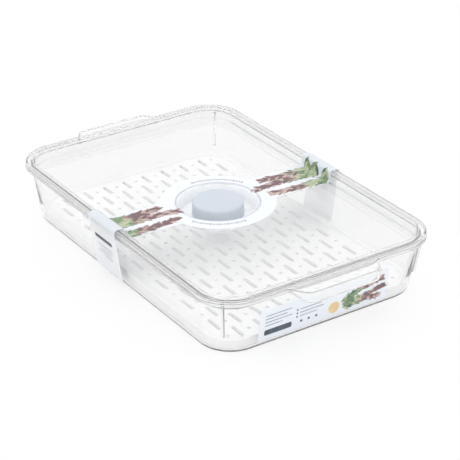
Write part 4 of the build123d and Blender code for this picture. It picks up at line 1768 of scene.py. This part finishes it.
@dataclass
class Sleeve:
    """Paper band over the lid with a round label about the dish, and its legs on both sides."""

    shell: Shell
    inks: Inks
    top_paper: Material
    leg_paper: Material
    width: float = 40.0
    skew: float = -2.4
    shift: float = 1.6
    panel: float = 43.55
    ring: float = 48.0
    ring_hole: float = 34.7
    ring_points: int = 144
    line_inner: float = 0.15
    line_outer: float = 0.75
    wall_gap: float = 3.7
    panel_edge: float = 43.5
    rim_top: float = 53.1
    rim_inner_rise: float = 0.75
    rim_outer_rise: float = 0.55
    parting_gap: float = 0.35
    folds: tuple[float, ...] = (2.7, 1.7, 2.2)
    leg_fold: float = 1.2
    outer: float = 105.9
    parting: float = 50.1
    flange_low: float = 46.7
    foot: float = 5.5
    foot_gap: float = 2.2
    leg_inset: float = 0.15
    leg_drop: float = 0.3
    leg_lines: tuple[Point2, ...] = ((0.0, 22.0), (-2.5, 17.0), (1.0, 20.0), (-4.0, 12.0))
    leg_bar: Point2 = (3.4, 26.0)
    leg_bar_drop: float = 13.0
    leg_bar_lean: float = 12.0
    line_width: float = 0.7
    line_drop: float = 20.5
    line_pitch: float = 3.1
    line_lean: float = 20.0
    line_lean_pitch: float = 3.0
    leaf_length: float = 11.0
    leaf_spacing: float = 0.6
    tick_radius: float = 40.6
    tick_middles: tuple[float, ...] = (58.0, 238.0)
    tick_reach: int = 9
    tick_pitch: float = 3.4
    tick_long: float = 3.0
    tick_short: float = 1.7
    tick_width: float = 0.8

    def middle(self, x: object) -> object:
        """Where the band's middle is along Y at a place across the keeper."""
        return self.shift + math.tan(math.radians(self.skew)) * x

    def fold_top(self) -> Fold:
        """The line over the lid, with its length counted from the middle."""
        foot_x = self.shell.sizes(self.panel_edge)[0] - self.wall_gap
        inner_x = self.shell.sizes(self.rim_top)[0] - self.wall_gap
        right = [(foot_x, self.panel), (inner_x, self.rim_top + self.rim_inner_rise),
                 (self.outer, self.rim_top + self.rim_outer_rise),
                 (self.outer, self.parting + self.parting_gap)]
        left = [(-x, z) for x, z in reversed(right)]
        fold = Fold(left + right, (*self.folds, *self.folds[::-1]))
        fold.lengths -= fold.lengths[-1] / 2
        return fold

    def strip(self, fold: Fold, middle: np.ndarray) -> np.ndarray:
        """Outline in the flat of the band about its middle line.

        Args:
            fold: the line that it follows.
            middle: its middle at each point of that line.

        Returns:
            The closed outline.
        """
        half = self.width / 2 / math.cos(math.radians(self.skew))
        near = np.column_stack([fold.lengths, middle - half])
        far = np.column_stack([fold.lengths, middle + half])[::-1]
        return np.concatenate([near, far])

    def round(self, radius: float) -> np.ndarray:
        """Outline of a disc about the dish."""
        return disc((0, 0), radius, self.ring_points)

    def top(self) -> None:
        """The band over the lid with its label and what is printed on them."""
        fold = self.fold_top()
        band = self.strip(fold, self.middle(fold.line[:, 0]))
        piece = paper_sheet("sleeve_band", fold, [band, self.round(self.ring)],
                            [self.round(self.ring_hole)])
        finish_piece(piece, self.top_paper, Body.COVER, "sleeve_top")
        piece.visible_shadow = False
        sprigs = {
            "left": (((-107, -7), (-46, -7), -2.0, 3.2, 3), ((-107, 6), (-38, 4), 2.5, 3.3, 4),
                     ((-107, 19), (-50, 17), -1.5, 3.2, 5)),
            "right": (((107, -16), (46, -13), 1.5, 3.2, 6), ((107, -3), (38, 0), -2.5, 3.3, 7),
                      ((107, 10), (52, 12), 2.0, 3.2, 8)),
        }
        length, apart = self.leaf_length, self.leaf_spacing
        for side, rows in sprigs.items():
            drawn = gathered(Sprig(start, end, bow, length, width, apart, seed)
                             for start, end, bow, width, seed in rows)
            self.inks.print_on(f"band_{side}", fold, drawn, Body.COVER, band)
        self.inks.print_on("label_ticks", fold, {"slate": self.ticks()}, Body.COVER)
        outer, inner = (self.round(self.ring_hole + off)
                        for off in (self.line_outer, self.line_inner))
        self.inks.lay("label_edge_line", "lilac", fold, [outer], Body.COVER, [inner])

    def ticks(self) -> list[np.ndarray]:
        """Two fans of ticks on the label, every third one long."""
        ticks = []
        for middle in self.tick_middles:
            for step in range(-self.tick_reach, self.tick_reach + 1):
                turn = math.radians(middle + step * self.tick_pitch)
                place = (self.tick_radius * math.cos(turn), self.tick_radius * math.sin(turn))
                length = self.tick_short if step % 3 else self.tick_long
                ticks.append(bar(place, length, self.tick_width, turn))
        return ticks

    def leg(self, side: int) -> None:
        """One leg with its printed lines.

        Args:
            side: 1 for +X and -1 for -X.
        """
        name = "right" if side > 0 else "left"
        outer = self.outer - self.leg_inset
        foot_x = self.shell.sizes(self.foot)[0] + self.foot_gap
        fold = Fold([(outer, self.parting - self.leg_drop), (outer, self.flange_low),
                     (foot_x, self.foot)], (self.leg_fold,), "x" if side > 0 else "-x")
        slope = math.tan(math.radians(self.skew)) * side
        centre = self.middle(side * self.outer)
        down = np.maximum(self.flange_low - fold.line[:, 1], 0)
        sheet = self.strip(fold, centre + slope * down)
        piece = paper_sheet(f"sleeve_leg_{name}_sheet", fold, [sheet])
        finish_piece(piece, self.leg_paper, Body.TUB, f"sleeve_leg_{name}")
        lines = []
        for row, (shift, length) in enumerate(self.leg_lines):
            lean = slope * (self.line_lean + self.line_lean_pitch * row)
            place = (self.line_drop + self.line_pitch * row, centre + lean + shift)
            lines.append(bar(place, self.line_width, length))
        slate = [bar((self.leg_bar_drop, centre + slope * self.leg_bar_lean), *self.leg_bar)]
        self.inks.print_on(f"leg_{name}", fold, {"grey": lines, "slate": slate}, Body.TUB)


@dataclass
class FrontCard:
    """Paper card on the front wall, with plain bars, dots, a sprig panel and a disc."""

    shell: Shell
    inks: Inks
    card_paper: Material
    low: float = 6.0
    high: float = 34.0
    left: float = -63.0
    right: float = 57.0
    corner: float = 2.0
    gap: float = 0.12
    leaf_length: float = 7.0
    leaf_width: float = 2.2
    leaf_spacing: float = 0.8
    line_width: float = 0.75
    lines: tuple[tuple[float, float, float], ...] = (
        (6.0, -46.0, 24.0), (9.0, -48.0, 20.0), (12.0, -45.5, 25.0), (15.0, -50.0, 16.0),
        (10.0, -16.0, 20.0), (13.2, -15.0, 22.0), (16.4, -18.0, 16.0))
    title: tuple[float, float, float] = (-45.5, 5.0, 25.0)
    title_row: float = 21.5
    title_dot: float = 1.1
    title_dots: tuple[float, ...] = (-24.0, -17.0, -10.0)
    dot: float = 0.8
    dot_column: float = -28.5
    dot_rows: tuple[float, ...] = (10.0, 13.2, 16.4)
    badge: tuple[Point2, float] = ((20.0, 6.5), 5.2)

    def build(self) -> None:
        """The card and what is printed on it."""
        fold = Fold([(self.shell.sizes(z, self.gap)[1], z) for z in (self.high, self.low)], (),
                    "-y")
        near, far = self.corner, float(fold.lengths[-1]) - self.corner
        left, right = self.left + self.corner, self.right - self.corner
        corners = ((far, right), (near, right), (near, left), (far, left))
        card = np.array([place for turn, centre in enumerate(corners)
                         for place in bend(centre, self.corner, turn * 90, turn * 90 + 90, 6)])
        piece = paper_sheet("front_card_sheet", fold, [card])
        finish_piece(piece, self.card_paper, Body.TUB, "front_card")
        grey = [bar((row, middle), self.line_width, length) for row, middle, length in self.lines]
        middle, height, length = self.title
        slate = [bar((self.title_row, middle), height, length)]
        slate += [disc((row, self.dot_column), self.dot, 16) for row in self.dot_rows]
        slate += [disc((self.title_row, place), self.title_dot, 20) for place in self.title_dots]
        badge = [disc(*self.badge)]
        self.inks.print_on("card", fold, {"grey": grey, "slate": slate, "tan": badge}, Body.TUB)
        rows = (((17, 13), (7, 51), 1.5, 11), ((19.5, 14), (14.5, 53), -1.5, 12),
                ((22.5, 15), (22.5, 49), 1.0, 13))
        sprigs = gathered(Sprig(start, end, bow, self.leaf_length, self.leaf_width,
                                self.leaf_spacing, seed) for start, end, bow, seed in rows)
        self.inks.print_on("card_sprig", fold, sprigs, Body.TUB, card)


# ---------------------------------------------------------------- studio


@dataclass
class Studio:
    """White floor, soft light and the camera at the photograph's angle."""

    camera_place: tuple[float, float, float] = (-693.43, -1060.35, 682.39)
    camera_yaw: float = -33.619
    camera_pitch: float = 27.691
    camera_roll: float = 0.268
    lens: float = 135.92
    film: float = 36.0
    clip: Span = (0.01, 20.0)
    sky: float = 1.15
    lamp: float = 1.5
    lamp_size: Span = (1.4, 1.0)
    lamp_place: tuple[float, float, float] = (-0.5, 0.5, 1.4)
    floor_half: float = 2500.0
    floor_drop: float = 0.02
    floor_colour: float = 0.86
    floor_glow: float = 0.7
    glow_through: float = 0.75
    horizon: float = 0.86
    horizon_height: float = 0.05
    horizon_low: float = 0.12
    horizon_high: float = 0.3

    def camera(self) -> None:
        """Adds the camera."""
        data = bpy.data.cameras.new("camera")
        data.sensor_width = self.film
        data.lens = self.lens
        data.clip_start, data.clip_end = self.clip
        camera = in_scene("camera", data)
        camera.location = [value * MM for value in self.camera_place]
        turn = Euler((math.radians(90 - self.camera_pitch), 0, math.radians(self.camera_yaw)))
        roll = Euler((0, 0, -math.radians(self.camera_roll)))
        camera.rotation_mode = "QUATERNION"
        camera.rotation_quaternion = turn.to_quaternion() @ roll.to_quaternion()
        bpy.context.scene.camera = camera

    def seen(self, nodes: Nodes) -> Socket:
        """1 for rays from the camera, from gloss and through clear plastic."""
        path = nodes.add("ShaderNodeLightPath").outputs
        first = nodes.maths("MAXIMUM", path["Is Camera Ray"], path["Is Glossy Ray"])
        return nodes.maths("MAXIMUM", first, path["Is Transmission Ray"])

    def light(self) -> None:
        """Adds a world that is white where it is seen and softer where it lights, and a lamp."""
        world = bpy.data.worlds.new("studio")
        world.use_nodes = True
        bpy.context.scene.world = world
        nodes = Nodes(world.node_tree)
        world.node_tree.nodes.clear()
        way = nodes.add("ShaderNodeTexCoord").outputs["Generated"]
        up = nodes.add("ShaderNodeSeparateXYZ", Vector=way).outputs["Z"]
        above = nodes.maths("ABSOLUTE", nodes.maths("SUBTRACT", up, self.horizon_height))
        band = nodes.spread(above, self.horizon_low, self.horizon_high, self.horizon)
        camera = nodes.add("ShaderNodeLightPath").outputs["Is Camera Ray"]
        lit = nodes.first("ShaderNodeBackground", Color=WHITE, Strength=self.sky)
        shown = nodes.first("ShaderNodeBackground", Color=WHITE,
                            Strength=nodes.maths("MAXIMUM", band, camera))
        out = nodes.add("ShaderNodeOutputWorld", Surface=nodes.blend(self.seen(nodes), lit, shown))
        out.is_active_output = True
        data = bpy.data.lights.new("softbox", "AREA")
        data.shape, data.energy = "RECTANGLE", self.lamp
        data.size, data.size_y = self.lamp_size
        lamp = in_scene("softbox", data)
        lamp.location = self.lamp_place
        lamp.rotation_euler = Vector(self.lamp_place).to_track_quat("Z", "Y").to_euler()

    def floor(self) -> None:
        """Adds the floor, which is white where it is seen and keeps the keeper's shadow."""
        half = self.floor_half
        corners = ((-half, -half), (half, -half), (half, half), (-half, half))
        points = np.array([(x, y, -self.floor_drop) for x, y in corners])
        mesh = bpy.data.meshes.new("floor")
        mesh.from_pydata((points * MM).tolist(), [], [[0, 1, 2, 3]])
        floor = in_scene("floor", mesh)
        material = bpy.data.materials.new("white_floor")
        material.use_nodes = True
        nodes = Nodes(material.node_tree)
        material.node_tree.nodes.clear()
        matt = nodes.first("ShaderNodeBsdfDiffuse", Color=rgba((self.floor_colour,) * 3))
        white = nodes.first("ShaderNodeEmission", Color=WHITE, Strength=1.0)
        through = nodes.add("ShaderNodeLightPath").outputs["Is Transmission Ray"]
        plain = nodes.maths("MULTIPLY", self.seen(nodes), self.floor_glow)
        share = nodes.maths("MAXIMUM", plain, nodes.maths("MULTIPLY", through, self.glow_through))
        nodes.add("ShaderNodeOutputMaterial", Surface=nodes.blend(share, matt, white))
        mesh.materials.append(material)

    def build(self) -> None:
        """Adds all of it."""
        self.camera()
        self.light()
        self.floor()
        bpy.context.scene.view_settings.view_transform = "Standard"


def main() -> None:
    """Builds the studio and the keeper's pieces in order."""
    logging.basicConfig(level=logging.INFO, format="%(name)s: %(message)s")
    Studio().build()
    shell = Shell()
    # Painted light: the tub's handle lips and the lid's dish get a whitish diffuse share for
    # refraction's glow and highlights.
    clear_tub = ClearPlastic("clear_tub_plastic", painted_glow_reach=159.6, painted_glow_share=0.15).make()
    clear_lid = ClearPlastic("clear_lid_plastic", dish_tint=(0.968, 0.982, 1.0), dish_radius=34.4,
                             painted_glow_radius=34.0, painted_glow_share=0.9).make()
    finish_piece(Tub(shell).build(), clear_tub, Body.TUB, "bin")
    finish_piece(Lid(shell).build(), clear_lid, Body.COVER, "lid")
    white = Moulded("white_tray_plastic", colour=(0.93, 0.93, 0.93), roughness=0.5).make()
    tray = Tray(white)
    finish_piece(tray.build(), white, Body.TRAY, "drain_tray")
    finish_piece(tray.extras(), white, Body.TRAY)
    satin = Moulded("knob_satin", colour=(0.575, 0.63, 0.70), roughness=0.42).make()
    finish_piece(Knob(satin).build(), satin, Body.DIAL, "vent_knob")
    for node, finish in (
            ("vent_gasket", Moulded("pale_silicone", colour=(0.82, 0.84, 0.86), roughness=0.6)),
            ("vent_shutter", Moulded("pale_shutter", colour=(0.86, 0.89, 0.92))),
            ("vent_screw", BrushedSteel("turned_steel"))):
        dress_node(node, finish.make())
    inks = Inks()
    # The band's own colour, lighter about the label, with painted shade darkening it towards and
    # over the rim.
    top_paper = Paper("sleeve_top_card", colour=srgb(218, 223, 232), middle=srgb(234, 237, 242),
                      middle_radius=66.0, fade=34.0).make()
    leg_paper = Paper("sleeve_leg_card", colour=srgb(228, 232, 239), glow=1.0).make()
    sleeve = Sleeve(shell, inks, top_paper, leg_paper)
    sleeve.top()
    sleeve.leg(-1)
    sleeve.leg(1)
    card_paper = Paper("front_card_paper", colour=srgb(230, 236, 244)).make()
    FrontCard(shell, inks, card_paper).build()


if __name__ == "__main__":
    main()
